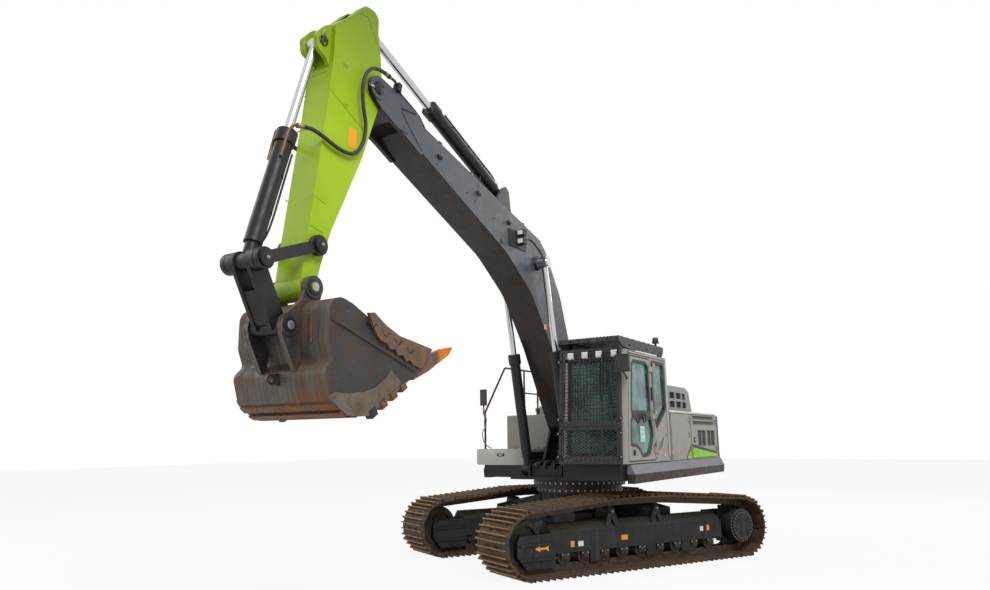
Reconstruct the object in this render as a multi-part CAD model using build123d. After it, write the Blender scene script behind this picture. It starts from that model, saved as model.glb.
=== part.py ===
"""Crawler excavator of the 35 t class, as separate named pieces.

Millimetres. The frame is the upper structure's: the origin is where the slewing axis meets the
ground, -Y is the way the cab faces, +X is the cab's side and +Z is up. The undercarriage is turned
by SWING below the upper structure. "reach" is the distance ahead of the slewing axis, so Y = -reach.
"""

from build123d import *
from math import atan2, cos, hypot, pi, radians, sin, tan
import os

# ---------------------------------------------------------------- driving dimensions
SWING = -27.19  # undercarriage heading below the upper structure, degrees about +Z
FIT = 0.3  # running clearance round pins, and seats left just open
SIDE_PLAY = 6.0  # sideways gap between swinging bosses

# undercarriage
GAUGE = 2590  # between track centres
TUMBLERS = 4050  # idler centre to sprocket centre
SHOE_WIDTH = 800
SHOES = 48
END_CENTRE_Z = 465  # height of idler and sprocket centres
PIN_RISE = 105  # track pins above the grouser tips
LINK_HALF = 50  # half the height of a track link
PLATE_RISE = 75  # shoe plate's face above the pins
LINK_IN, LINK_OUT = 65, 115  # link rail, from the track's centre line
CARRIER_Y = (-500, 360)  # carrier rollers along the track
CARRIER_LIFT = 115  # track's rise over the carrier rollers
ROLLERS = 9
ROLLER_R = 95
FRAME_HALF = 170  # half the width of a track frame
FRAME_FRONT, FRAME_REAR = -TUMBLERS / 2 + 425, TUMBLERS / 2 - 385  # ends of the track frames
FRAME_BOTTOM, FRAME_SHOULDER, FRAME_RIDGE = 300, 575, 690
DRIVE_R, DRIVE_FACE = 255, 312  # final drive's radius and its cap's distance from the track centre
SPROCKET_TEETH = 21
HUB_R = 650  # car body hub
TIE_EYE, TIE_R = (735, 660), 32  # tie-down eye: distance ahead, height and bore radius
TIE_PLATE = 50  # thickness of the tie-down plates
CAR_TOP = 1010  # top of the car body
DECK_Z = 1250  # underside of the turntable

# upper structure
HALF_WIDTH = 1540
REAR_Y = 2790  # where the counterweight starts
TAIL_R = 3450  # tail swing radius
LIFT_X, LIFT_Y, LIFT_Z, LIFT_R = 700, 3020, 2350, 24  # the counterweight's lifting eyes
LIFT_PLATE = 40  # thickness of their plates
HOUSING_TOP = 2300
SKIRT_TOP, SKIRT_EDGE, SKIRT_BOTTOM = 1485, 1355, 1225
DOOR_SHEET = 40  # a service door with its folded edge

# cab
CAB_IN, CAB_OUT = 545, 1536
CAB_FRONT, CAB_REAR = -1650, 220  # the front is measured at the floor
CAB_LEAN = 5.5  # the cab's front leans back, degrees
CAB_BOTTOM, CAB_TOP = 1500, 3130
CAB_WALL = 60
GLASS = 8
DOOR_GAP = 9

# attachment pins, as (reach, height)
BOOM_FOOT = (284, 1975)
BOOM_CYL_BASE = (1038, 1391)
BOOM_CYL_PIN = (1730, 4525)
BOOM_TIP = (5440, 5900)
ARM_CYL_BASE = (2420, 5470)
ARM_CYL_PIN = (5495, 6803)
BUCKET_CYL_PIN = (6215, 6170)
IDLER_PIN = (6283, 3815)
LINK_PIN = (6968, 3543)
BUCKET_PIN = (6355, 3364)
BUCKET_LINK_PIN = (6651, 2942)

# attachment widths and thicknesses
BOOM_HALF = 250
BOOM_WALL = 14
ARM_HALF = 190
ARM_WALL = 12
MAIN_PLATE = 40
BOOM_CYL_IN, BOOM_CYL_OUT = 303, 443
BUCKET_HALF = 650
BUCKET_WALL = 26
BUCKET_EYE, BUCKET_EYE_R = (6632, 2440), 25
PIN_R = 55
EAR_PIN_R = 45
BASE_PIN_R = 50
EAR_GAP = 75  # half the space between a pair of ears that hold a cylinder's eye
BOOM_HEAD, ARM_HEAD, BUCKET_HEAD = 1830, 1890, 1520  # barrels, from their eyes to their heads
BOOM_CYL_R, ARM_CYL_R, BUCKET_CYL_R = 80, 98, 92
BOOM_ROD_R, ROD_R, BUCKET_ROD_R = 46, 55, 48
GLAND, GLAND_RIM = 150, 18  # length of a barrel's thicker head, and how far it stands out
BORE_FLOOR = 115  # from a barrel's eye to the end of its bore


# ---------------------------------------------------------------- shape helpers
def block(x, y, z):
    """A box from (low, high) pairs."""
    sizes = [high - low for low, high in (x, y, z)]
    middle = [(high + low) / 2 for low, high in (x, y, z)]
    return Pos(*middle) * Box(*sizes)


def outline(points, radius=0):
    """A closed outline of (y, z) points in the YZ plane, its corners rounded by one or more radii."""
    corners = [(0, y, z) for y, z in points]
    if radius:
        return FilletPolyline(*corners, radius=radius, close=True)
    return Polyline(*corners, close=True)


def slab(points, x0, x1, radius=0):
    """A plate between x0 and x1 with an outline of (y, z) points."""
    face = make_face(outline(points, radius))
    return Pos(x0, 0, 0) * extrude(face, amount=x1 - x0, dir=(1, 0, 0))


def reach_slab(points, x0, x1, radius=0):
    """A slab whose outline is given as (reach, height)."""
    return slab([(-reach, z) for reach, z in points], x0, x1, radius)


def plan_slab(points, z0, z1):
    """A plate between z0 and z1 with an outline of (x, y) points."""
    face = make_face(Polyline(*[(x, y, z0) for x, y in points], close=True))
    return extrude(face, amount=z1 - z0, dir=(0, 0, 1))


def cross_slab(points, y0, y1):
    """A bar between y0 and y1 with a section of (x, z) points."""
    face = make_face(Polyline(*[(x, y0, z) for x, z in points], close=True))
    return extrude(face, amount=y1 - y0, dir=(0, 1, 0))


def shaft(pin, radius, x0, x1):
    """A cylinder along X between x0 and x1, centred on a (reach, height) pin."""
    return Pos((x0 + x1) / 2, -pin[0], pin[1]) * Rot(0, 90, 0) * Cylinder(radius, x1 - x0)


def rod(start, end, radius):
    """A round bar between two (x, y, z) points."""
    a, b = Vector(*start), Vector(*end)
    return Plane(origin=a, z_dir=b - a) * Cylinder(
        radius, (b - a).length, align=(Align.CENTER, Align.CENTER, Align.MIN))


def pipe(points, radius, bend):
    """A bent pipe through (x, y, z) points."""
    path = FilletPolyline(*points, radius=bend)
    section = Plane(origin=path @ 0, z_dir=path % 0) * Circle(radius)
    return sweep(section, path=path)


def both_sides(shape):
    """A shape and its mirror image across the YZ plane."""
    return shape + mirror(shape, about=Plane.YZ)


def along(start, end, distance, x=0.0):
    """The (x, y, z) point at a distance from one (reach, height) pin towards another."""
    length = hypot(end[0] - start[0], end[1] - start[1])
    t = distance / length
    return (x, -(start[0] + t * (end[0] - start[0])), start[1] + t * (end[1] - start[1]))


def span(start, end):
    return hypot(end[0] - start[0], end[1] - start[1])


# ---------------------------------------------------------------- undercarriage
PIN_R_END = END_CENTRE_Z - PIN_RISE  # the pins' radius round the tumblers
HALF_BASE = TUMBLERS / 2
FRONT, REAR = -HALF_BASE, HALF_BASE
TOP_PINS = END_CENTRE_Z + PIN_R_END


def pin_path():
    """The closed line through the track's pins, in the plane of the track."""
    low, high = PIN_RISE, TOP_PINS
    middle = END_CENTRE_Z
    lifted = high + CARRIER_LIFT
    return Wire([
        Line((0, FRONT, low), (0, REAR, low)),
        ThreePointArc((0, REAR, low), (0, REAR + PIN_R_END, middle), (0, REAR, high)),
        Line((0, REAR, high), (0, CARRIER_Y[1], lifted)),
        Line((0, CARRIER_Y[1], lifted), (0, CARRIER_Y[0], lifted)),
        Line((0, CARRIER_Y[0], lifted), (0, FRONT, high)),
        ThreePointArc((0, FRONT, high), (0, FRONT - PIN_R_END, middle), (0, FRONT, low)),
    ])


def track_pins():
    path = pin_path()
    return [path.position_at(i / SHOES) for i in range(SHOES)]


def shoe_outline(start, end):
    """One shoe's section with its three grousers, from pin to pin, as (y, z) points."""
    step = end - start
    pitch = step.length
    forward = step / pitch
    outward = Vector(0, forward.Z, -forward.Y)
    gap, web, bar, foot = 4, 58, 12, 10
    middle = pitch / 2
    profile = [  # distance along the shoe, height above the pins
        (gap, web), (gap, PIN_RISE), (gap + bar, PIN_RISE), (gap + bar + foot, PLATE_RISE),
        (middle - bar, PLATE_RISE), (middle - bar / 2, PIN_RISE),
        (middle + bar / 2, PIN_RISE), (middle + bar, PLATE_RISE),
        (pitch - gap - bar - foot, PLATE_RISE), (pitch - gap - bar, PIN_RISE),
        (pitch - gap, PIN_RISE), (pitch - gap, web),
    ]
    points = [start + forward * u + outward * h for u, h in profile]
    return [(p.Y, p.Z) for p in points]


def offset_pins(pins, distance):
    """The pins moved outwards, square to the track."""
    moved = []
    for i, pin in enumerate(pins):
        forward = (pins[(i + 1) % SHOES] - pins[i - 1]).normalized()
        moved.append((pin.Y + distance * forward.Z, pin.Z - distance * forward.Y))
    return moved


def track():
    pins = track_pins()
    shoes = []
    for i in range(SHOES):
        shoes += shoe_outline(pins[i], pins[(i + 1) % SHOES])
    seat = offset_pins(pins, LINK_HALF)
    rail = offset_pins(pins, -LINK_HALF)
    band = slab(shoes, -SHOE_WIDTH / 2, SHOE_WIDTH / 2) - slab(seat, -SHOE_WIDTH, SHOE_WIDTH)
    link = slab(seat, LINK_IN, LINK_OUT) - slab(rail, LINK_IN - 1, LINK_OUT + 1)
    return band + both_sides(link)


SHOE_PITCH = pin_path().length / SHOES
TREAD_R = (PIN_R_END ** 2 - (SHOE_PITCH / 2) ** 2) ** 0.5 - LINK_HALF - FIT
CARRIER_R = 68
CARRIER_Z = TOP_PINS + CARRIER_LIFT - LINK_HALF - 10 - CARRIER_R
ROLLER_Z = PIN_RISE + LINK_HALF + ROLLER_R + FIT


def idler():
    wheel = shaft((-FRONT, END_CENTRE_Z), TREAD_R, -LINK_OUT, LINK_OUT)
    rim = shaft((-FRONT, END_CENTRE_Z), TREAD_R + 35, -LINK_IN + 8, LINK_IN - 8)
    groove = shaft((-FRONT, END_CENTRE_Z), TREAD_R - 60, LINK_IN, LINK_OUT + 1)
    boss = shaft((-FRONT, END_CENTRE_Z), 95, -LINK_OUT - 20, LINK_OUT + 20)
    axle = shaft((-FRONT, END_CENTRE_Z), 45, -YOKE_IN + FIT, YOKE_IN - FIT)
    return wheel + rim - both_sides(groove) + boss + axle


def sprocket_outline():
    """The toothed wheel as (y, z) points."""
    points = []
    for tooth in range(SPROCKET_TEETH):
        for share, radius in ((-0.30, 300), (-0.13, 350), (0.13, 350), (0.30, 300)):
            angle = 2 * pi * (tooth + share) / SPROCKET_TEETH
            points.append((REAR + radius * cos(angle), END_CENTRE_Z + radius * sin(angle)))
    return points


def final_drive():
    """Sprocket, drive housing and its round cap; +X is the outer side."""
    centre = (-REAR, END_CENTRE_Z)
    wheel = slab(sprocket_outline(), -30, 30)
    housing = shaft(centre, DRIVE_R - 30, -FRAME_HALF + 30 + FIT, 200)
    cap = shaft(centre, DRIVE_R, 190, DRIVE_FACE - 20)
    face = shaft(centre, DRIVE_R - 35, DRIVE_FACE - 30, DRIVE_FACE)
    return wheel + housing + cap + face


YOKE_IN = 135  # inner face of the idler's yoke plates


def track_frame():
    """Box beam with a roof, a roller tunnel below, the idler yoke and the drive bracket."""
    section = [
        (-FRAME_HALF, FRAME_BOTTOM), (FRAME_HALF, FRAME_BOTTOM), (FRAME_HALF, FRAME_SHOULDER),
        (60, FRAME_RIDGE), (-60, FRAME_RIDGE), (-FRAME_HALF, FRAME_SHOULDER),
    ]
    beam = cross_slab(section, FRAME_FRONT, FRAME_REAR)
    tunnel = block((-YOKE_IN - 5, YOKE_IN + 5), (FRAME_FRONT - 1, FRAME_REAR + 1),
                   (FRAME_BOTTOM - 1, ROLLER_Z + ROLLER_R + 40))
    beam -= tunnel
    yoke = [(-2160, 480), (-2120, 570), (FRAME_FRONT + 60, FRAME_SHOULDER), (FRAME_FRONT + 60, 130),
            (-2020, 130), (-2160, 300)]
    cheek = slab(yoke, YOKE_IN, FRAME_HALF + 20)
    for low in (430, 240):
        cheek += block((FRAME_HALF + 19, FRAME_HALF + 45), (-2130, FRAME_FRONT + 60), (low, low + 30))
    beam += both_sides(cheek)
    bracket = block((-FRAME_HALF, -FRAME_HALF + 30), (FRAME_REAR - 40, REAR), (230, 700))
    bracket += shaft((-REAR, END_CENTRE_Z), 235, -FRAME_HALF, -FRAME_HALF + 30)
    beam += bracket
    beam += block((YOKE_IN + 5, FRAME_HALF), (FRAME_REAR - 10, FRAME_REAR + 50), (FRAME_BOTTOM, 560))
    for y in guard_places():
        beam += both_sides(block((YOKE_IN + 5, FRAME_HALF), (y - 90, y + 90), (150, FRAME_BOTTOM + 1)))
    for y in CARRIER_Y:
        legs = slab([(y - 130, 590), (y + 130, 590), (y + 55, CARRIER_Z), (y - 55, CARRIER_Z)],
                    LINK_OUT + 12, LINK_OUT + 32)
        legs -= slab([(y - 60, 580), (y + 60, 580), (y, CARRIER_Z - 80)], LINK_OUT, FRAME_HALF)
        legs += shaft((-y, CARRIER_Z), 55, LINK_OUT + 12, LINK_OUT + 32)
        legs -= shaft((-y, CARRIER_Z), 30 + FIT, LINK_OUT, FRAME_HALF)
        beam += both_sides(legs)
    return beam


def roller_places():
    first, last = -1370, 1430
    return [first + i * (last - first) / (ROLLERS - 1) for i in range(ROLLERS)]


def guard_places():
    places = roller_places()
    return [(places[i] + places[i + 1]) / 2 for i in (1, 4, 6)]


def rollers():
    """The lower rollers with their end collars, and the two carrier rollers."""
    parts = []
    for y in roller_places():
        roller = shaft((-y, ROLLER_Z), ROLLER_R, -LINK_OUT - 18, LINK_OUT + 18)
        roller += both_sides(shaft((-y, ROLLER_Z), ROLLER_R + 18, LINK_OUT + 3, LINK_OUT + 18))
        roller -= shaft((-y, ROLLER_Z), ROLLER_R - 12, -LINK_IN + 15, LINK_IN - 15) \
            - shaft((-y, ROLLER_Z), ROLLER_R - 35, -LINK_IN, LINK_IN)
        roller += both_sides(block((YOKE_IN - 3, FRAME_HALF), (y - 60, y + 60),
                                   (ROLLER_Z - 45, FRAME_BOTTOM - FIT)))
        parts.append(roller)
    for y in CARRIER_Y:
        carrier = shaft((-y, CARRIER_Z), CARRIER_R, -LINK_OUT, LINK_OUT)
        carrier += shaft((-y, CARRIER_Z), 30, -LINK_OUT - 40, LINK_OUT + 40)
        parts.append(carrier)
    return Compound(parts)


def car_body():
    """Hub with a top plate, a belly plate, and a splayed leg to each end of each track frame."""
    hub = Pos(0, 0, (560 + CAR_TOP) / 2) * Cylinder(HUB_R, CAR_TOP - 560)
    frame_side = GAUGE / 2 - FRAME_HALF - FIT
    for side in (-1, 1):
        for end in (-1, 1):
            root = Plane(origin=(side * 300, end * 330, 760), z_dir=(side, 0, 0)) * Rectangle(430, 520)
            foot = Plane(origin=(side * frame_side, end * 780, 470), z_dir=(side, 0, 0)) \
                * Rectangle(620, 320)
            hub += loft([root.faces()[0], foot.faces()[0]])
    hub += block((-620, 620), (-500, 500), (500, 600))
    for end in (-1, 1):
        y, z = end * TIE_EYE[0], TIE_EYE[1]
        lug = block((-75, 75), sorted((end * 560, y)), (z - TIE_PLATE / 2, z + TIE_PLATE / 2))
        lug += Pos(0, y, z) * Cylinder(75, TIE_PLATE)
        hub = hub + lug - Pos(0, y, z) * Cylinder(TIE_R, 2 * TIE_PLATE)
    return hub


def slew_ring():
    """Geared slewing bearing between the car body and the turntable."""
    lower = Pos(0, 0, (CAR_TOP + 1120) / 2) * Cylinder(700, 1120 - CAR_TOP)
    upper = Pos(0, 0, (1120 + DECK_Z - FIT) / 2) * Cylinder(755, DECK_Z - FIT - 1120)
    bore = Pos(0, 0, 1130) * Cylinder(560, 400)
    return lower + upper - bore


def to_upper_frame(shape):
    return Rot(0, 0, SWING) * shape


# ---------------------------------------------------------------- upper structure
PLATE_IN = BOOM_HALF + 8
PLATE_OUT = PLATE_IN + MAIN_PLATE


def turntable_frame():
    """Deck plate and the two main plates that carry the boom and its cylinders."""
    deck = plan_slab([(-560, -1290), (545, -1290), (545, 300), (1480, 300), (1480, REAR_Y),
                      (-1480, REAR_Y), (-1480, 130), (-560, 130)], DECK_Z, DECK_Z + 40)
    foot_y, foot_z = -BOOM_FOOT[0], BOOM_FOOT[1]
    base_y, base_z = -BOOM_CYL_BASE[0], BOOM_CYL_BASE[1]
    profile = [
        (base_y - 150, DECK_Z + 1), (base_y - 150, base_z + 60), (base_y - 40, base_z + 140),
        (base_y + 330, base_z + 150), (foot_y - 165, foot_z + 60), (foot_y - 60, foot_z + 165),
        (foot_y + 120, foot_z + 140), (foot_y + 620, foot_z - 330), (1180, 1470), (REAR_Y, 1400),
        (REAR_Y, DECK_Z + 1),
    ]
    plates = both_sides(slab(profile, PLATE_IN, PLATE_OUT))
    frame = deck + plates
    frame += block((-PLATE_IN, PLATE_IN), (700, 740), (DECK_Z + 1, 1650))
    frame += block((-PLATE_IN, PLATE_IN), (-1140, -1100), (DECK_Z + 1, 1450))
    frame += shaft(BOOM_FOOT, PIN_R + 5, -PLATE_OUT - 20, PLATE_OUT + 20)
    frame += both_sides(shaft(BOOM_FOOT, 105, PLATE_OUT - 1, PLATE_OUT + 24))
    frame += both_sides(shaft(BOOM_CYL_BASE, 50, PLATE_OUT - 1, BOOM_CYL_OUT + 6))
    frame += both_sides(shaft(BOOM_CYL_BASE, 80, BOOM_CYL_OUT + 4, BOOM_CYL_OUT + 20))
    return frame


def counterweight():
    """Cast block with a rounded tail and two lifting eyes."""
    half = HALF_WIDTH - 20
    reach = TAIL_R - 60
    tail = [(half, REAR_Y + FIT), (half, 2960), (1150, 3230), (550, reach), (-550, reach),
            (-1150, 3230), (-half, 2960), (-half, REAR_Y + FIT)]
    body = plan_slab(tail, SKIRT_BOTTOM + 15, HOUSING_TOP - 5)
    body = chamfer(body.faces().sort_by(Axis.Z)[-1].edges().filter_by(
        lambda edge: edge.center().Y > REAR_Y + 50), 45)
    for x in (-LIFT_X, LIFT_X):
        x0, x1 = x - LIFT_PLATE / 2, x + LIFT_PLATE / 2
        body += block((x0, x1), (LIFT_Y - 60, LIFT_Y + 60), (HOUSING_TOP - 6, LIFT_Z))
        body += shaft((-LIFT_Y, LIFT_Z), 60, x0, x1)
        body -= shaft((-LIFT_Y, LIFT_Z), LIFT_R, x0 - 1, x1 + 1)
    return body


def side_skirts():
    """Chamfered skirt along each side of the deck."""
    section = [(1482, SKIRT_BOTTOM), (1482, SKIRT_TOP), (HALF_WIDTH, SKIRT_TOP),
               (1600, SKIRT_EDGE), (1585, SKIRT_BOTTOM)]
    left = cross_slab(section, -1480, REAR_Y + 160)
    left -= block((1400, 1620), (REAR_Y, REAR_Y + 400), (1200, 1600)) \
        & block((1400, HALF_WIDTH - 18), (REAR_Y - 1, REAR_Y + 400), (1200, 1600))
    right = mirror(cross_slab(section, -480, REAR_Y + 160), about=Plane.YZ)
    right -= block((-HALF_WIDTH + 18, -1400), (REAR_Y, REAR_Y + 400), (1200, 1600))
    return Compound([left, right])


def cab_base():
    """Black box below the cab, with a cut corner."""
    plan = [(547, -1630), (1440, -1630), (1481.5, -1470), (1481.5, 259), (547, 259)]
    return plan_slab(plan, DECK_Z + 15, CAB_BOTTOM - FIT)


def knuckle(door, size, face, edge, z, side, root=None):
    """The door's half of a hinge, outside its rear edge, bored for the pin.

    size is the knuckle's radius, face the door's outer face, edge its rear edge, side +1 or -1.
    root is where the door ends at this height, if it is cut back from its edge."""
    x, y = hinge_line(size, face, edge, side)
    root = edge if root is None else root
    height = (z - 3 * size, z + 3 * size)
    leaf = block(sorted((face - side * 5, x)), (root - 4 * size, root - 1), height)
    leaf += block(sorted((face + side * 5, x)), (root - 2, y), height)
    leaf += Pos(x, y, z) * Cylinder(size, 6 * size)
    return door + leaf - Pos(x, y, z) * Cylinder(size / 2 + FIT, 7 * size)


def hinge_pin(size, face, edge, z, side, width):
    """The fixed half of a hinge: a pin and its bracket above the knuckle."""
    x, y = hinge_line(size, face, edge, side)
    pin = Pos(x, y, z + 2 * size) * Cylinder(size / 2, 11 * size)
    low, high = z + 3 * size + 4, z + 7 * size
    bracket = block(sorted((face - side, x + side * size / 2)), (y + 5, y + width), (low, high))
    return pin + bracket + Pos(x, y, (low + high) / 2) * Cylinder(size, high - low)


def hinge_line(size, face, edge, side):
    return face + side * (size + 8), edge + size - 2


# cab door and cab side windows, as (y, z) outlines seen from the left side
DOOR = [(-1535, 1530), (-470, 1530), (-470, 1990), (-545, 2352), (-570, 3050), (-1392, 3050)]
DOOR_UPPER_WINDOW = [(-1372, 2215), (-602, 2225), (-602, 2600), (-624, 2945), (-712, 2995),
                     (-1220, 2990), (-1288, 2935)]
DOOR_LOWER_WINDOW = [(-1381, 2158), (-590, 2165), (-532, 1990), (-528, 1870), (-708, 1606),
                     (-1011, 1583), (-1094, 1686), (-1246, 1741), (-1431, 1749)]
QUARTER_WINDOW = [(-425, 2105), (-371, 1995), (105, 2312), (62, 3035), (-478, 3035), (-470, 2430)]
RIGHT_WINDOW = [(-1420, 2050), (20, 2050), (20, 3000), (-1370, 3000)]
FRONT_WINDOW = [(645, 2080), (1435, 2080), (1435, 2990), (645, 2990)]
FRONT_LOWER = [(645, 1620), (1435, 1620), (1435, 2020), (645, 2020)]
REAR_WINDOW = [(700, 2420), (1380, 2420), (1380, 2990), (700, 2990)]
DOOR_WALL = 50
CAB_HINGE = 14  # radius of the cab door's hinge knuckles
CAB_HINGES = (1680, 2180, 2900)


def grown(points, by):
    """An outline offset outwards (or inwards when negative)."""
    return offset(make_face(outline(points)), amount=by, kind=Kind.INTERSECTION)


def side_panel(points, by, x0, x1):
    """A plate between x0 and x1 whose (y, z) outline is grown by a margin."""
    return Pos(x0, 0, 0) * extrude(grown(points, by), amount=x1 - x0, dir=(1, 0, 0))


def front_panel(points, by, y0, y1):
    """A plate between y0 and y1 whose (x, z) outline is grown by a margin."""
    face = make_face(Polyline(*[(x, y0, z) for x, z in points], close=True))
    if by:
        face = offset(face, amount=by, kind=Kind.INTERSECTION)
    return extrude(face, amount=y1 - y0, dir=(0, 1, 0))


def cab_front(z):
    """The front face's place at a height."""
    return CAB_FRONT + (z - CAB_BOTTOM) * tan(radians(CAB_LEAN))


def leaning(shape):
    """A shape that was made for an upright front, leaned back with the cab's."""
    foot = Pos(0, CAB_FRONT, CAB_BOTTOM)
    return foot * Rot(-CAB_LEAN, 0, 0) * foot.inverse() * shape


def cab_shell():
    """Hollow cab with its pillars, roof and floor, and every window cut through."""
    low, high = CAB_BOTTOM, CAB_TOP
    shell = slab([(cab_front(low), low), (cab_front(high), high), (CAB_REAR, high), (CAB_REAR, low)],
                 CAB_IN, CAB_OUT)
    shell = fillet(shell.edges().filter_by(lambda edge: abs((edge % 0.5).Z) > 0.9), 70)
    low, high, wall = CAB_BOTTOM + 40, CAB_TOP - CAB_WALL, CAB_WALL / cos(radians(CAB_LEAN))
    shell -= slab([(cab_front(low) + wall, low), (cab_front(high) + wall, high),
                   (CAB_REAR - CAB_WALL, high), (CAB_REAR - CAB_WALL, low)],
                  CAB_IN + CAB_WALL, CAB_OUT - CAB_WALL)
    shell -= side_panel(DOOR, DOOR_GAP, CAB_OUT - CAB_WALL - 1, CAB_OUT + 1)
    shell -= side_panel(QUARTER_WINDOW, 0, CAB_OUT - CAB_WALL - 1, CAB_OUT + 1)
    shell -= side_panel(RIGHT_WINDOW, 0, CAB_IN - 1, CAB_IN + CAB_WALL + 1)
    for window in (FRONT_WINDOW, FRONT_LOWER):
        shell -= leaning(front_panel(window, 0, CAB_FRONT - 1, CAB_FRONT + CAB_WALL + 1))
    shell -= front_panel(REAR_WINDOW, 0, CAB_REAR - CAB_WALL - 1, CAB_REAR + 1)
    for z in CAB_HINGES:
        shell += hinge_pin(CAB_HINGE, CAB_OUT, DOOR[1][0], z, 1, 70)
    return shell


def cab_windows():
    """Fixed panes, each in the middle of its wall."""
    inset = (CAB_WALL - GLASS) / 2
    front = (CAB_FRONT + inset, CAB_FRONT + inset + GLASS)
    return Compound([
        side_panel(QUARTER_WINDOW, -FIT, CAB_OUT - inset - GLASS, CAB_OUT - inset),
        side_panel(RIGHT_WINDOW, -FIT, CAB_IN + inset, CAB_IN + inset + GLASS),
        leaning(front_panel(FRONT_WINDOW, -FIT, *front)),
        leaning(front_panel(FRONT_LOWER, -FIT, *front)),
        front_panel(REAR_WINDOW, -FIT, CAB_REAR - inset - GLASS, CAB_REAR - inset),
    ])


def door_rear(z):
    """The door's rear edge at a height."""
    for (low_y, low_z), (high_y, high_z) in zip(DOOR[1:4], DOOR[2:5]):
        if z <= high_z:
            return low_y + (z - low_z) / (high_z - low_z) * (high_y - low_y)


def cab_door():
    """Door panel with two window openings, a round recess, a grab handle and hinge knuckles."""
    inner = CAB_OUT - DOOR_WALL
    door = side_panel(DOOR, 0, inner, CAB_OUT)
    for window in (DOOR_UPPER_WINDOW, DOOR_LOWER_WINDOW):
        door -= side_panel(window, 0, inner - 1, CAB_OUT + 1)
    door -= shaft((1310, 1650), 45, CAB_OUT - 18, CAB_OUT + 1)
    for z in CAB_HINGES:
        door = knuckle(door, CAB_HINGE, CAB_OUT, DOOR[1][0], z, 1, door_rear(z + 3 * CAB_HINGE))
    return door


def cab_door_glass():
    """Panes seated in the door's openings."""
    x0 = CAB_OUT - DOOR_WALL / 2 - GLASS / 2
    return Compound([side_panel(window, -FIT, x0, x0 + GLASS)
                     for window in (DOOR_UPPER_WINDOW, DOOR_LOWER_WINDOW)])


GUARD_TILT = 4.4  # the front guard leans back, degrees
GUARD_FOOT = (-1738, 1500)


def front_guard():
    """Two framed screens before the windscreen, with the brackets that hold them."""
    width, split, height = 985, 540, 1662
    frame = Part()
    for low, high in ((0, split - 6), (split + 6, height)):
        screen = Box(width, 30, high - low, align=(Align.CENTER, Align.MIN, Align.MIN))
        opening = Box(width - 80, 60, high - low - 80, align=(Align.CENTER, Align.CENTER, Align.MIN))
        screen -= Pos(0, 0, 40) * opening
        for x in (-160, 190):
            screen += Pos(x, 15, 20) * Box(16, 16, high - low - 40,
                                          align=(Align.CENTER, Align.CENTER, Align.MIN))
        frame += Pos(0, 0, low) * screen
    for side in (-1, 1):
        frame += Pos(side * (width / 2 - 20), 15, height / 2) * Box(20, 20, height)
    middle = (CAB_IN + CAB_OUT) / 2 - 12
    frame = Pos(middle, *GUARD_FOOT) * Rot(-GUARD_TILT, 0, 0) * frame
    for z in (1560, 2980):
        for x in (CAB_IN + 70, CAB_OUT - 70):
            face = GUARD_FOOT[0] + (z - GUARD_FOOT[1]) * sin(radians(GUARD_TILT)) + 12
            frame += block((x - 15, x + 15), (face, cab_front(z) - FIT), (z, z + 30))
    return frame


ROOF_TOP = 3298
ROOF_SIDE = [(-1695, ROOF_TOP), (-1700, 3235), (-1555, 3162), (-1311, 3142), (50, 3150), (115, 3235),
             (115, ROOF_TOP)]  # outline of the roof guard's side plates


def roof_guard():
    """Slotted roof with side plates and a front brow, standing on four feet."""
    x0, x1, thick = CAB_IN + 5, CAB_OUT - 2, 12
    front, rear = ROOF_SIDE[0][0], ROOF_SIDE[-1][0]
    plate = block((x0, x1), (front, rear), (ROOF_TOP - thick, ROOF_TOP))
    for i in range(7):
        y = front + 260 + i * 205
        plate -= block((x0 + 120, x1 - 120), (y, y + 90), (ROOF_TOP - 20, ROOF_TOP + 1))
    for x in (x0, x1 - thick):
        plate += slab(ROOF_SIDE, x, x + thick)
    plate += block((x0, x1), (front, front + thick), (ROOF_SIDE[1][1], ROOF_TOP))
    for x in (x0 + thick, x1 - thick - 50):
        for y in (-1300, -30):
            plate += block((x, x + 50), (y, y + 90), (CAB_TOP + FIT, ROOF_TOP - thick + 1))
    return plate


def operator_seat():
    """Seat on its pedestal."""
    x = (CAB_IN + CAB_OUT) / 2
    base = block((x - 180, x + 180), (-620, -260), (1540 + FIT, 1800))
    cushion = block((x - 250, x + 250), (-760, -200), (1800, 1930))
    back = Pos(x, -170, 2240) * Rot(-10, 0, 0) * Box(480, 110, 700)
    head = Pos(x, -105, 2660) * Rot(-10, 0, 0) * Box(280, 90, 160)
    post = Pos(x, -115, 2570) * Rot(-10, 0, 0) * Box(60, 30, 120)
    return base + cushion + back + head + post


def cab_console():
    """Arm consoles with joysticks beside the seat, a display, and travel levers with pedals."""
    x = (CAB_IN + CAB_OUT) / 2
    parts = []
    for side in (-1, 1):
        box = block((x + side * 355 - 75, x + side * 355 + 75), (-900, -260), (1540 + FIT, 2080))
        box += Pos(x + side * 355, -820, 2160) * Cylinder(16, 180)
        box += Pos(x + side * 355, -820, 2270) * Cylinder(32, 90)
        parts.append(box)
    pedal = Part()
    for side in (-1, 1):
        pedal += block((x + side * 85 - 50, x + side * 85 + 50), (-1330, -1150), (1540 + FIT, 1580))
        pedal += rod((x + side * 85, -1240, 1570), (x + side * 85, -1180, 2020), 12)
    pedal += block((x - 130, x + 130), (-1260, -1210), (1540 + FIT, 1560))
    parts.append(pedal)
    display = block((CAB_IN + CAB_WALL + FIT, CAB_IN + CAB_WALL + 60), (-1250, -1020), (2100, 2380))
    display = display - block((CAB_IN + CAB_WALL + 52, CAB_IN + CAB_WALL + 61), (-1235, -1035),
                              (2115, 2365))
    display += block((CAB_IN + CAB_WALL + FIT, CAB_IN + CAB_WALL + 40), (-1160, -1110), (1900, 2101))
    parts.append(display)
    return Compound(parts)


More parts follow.
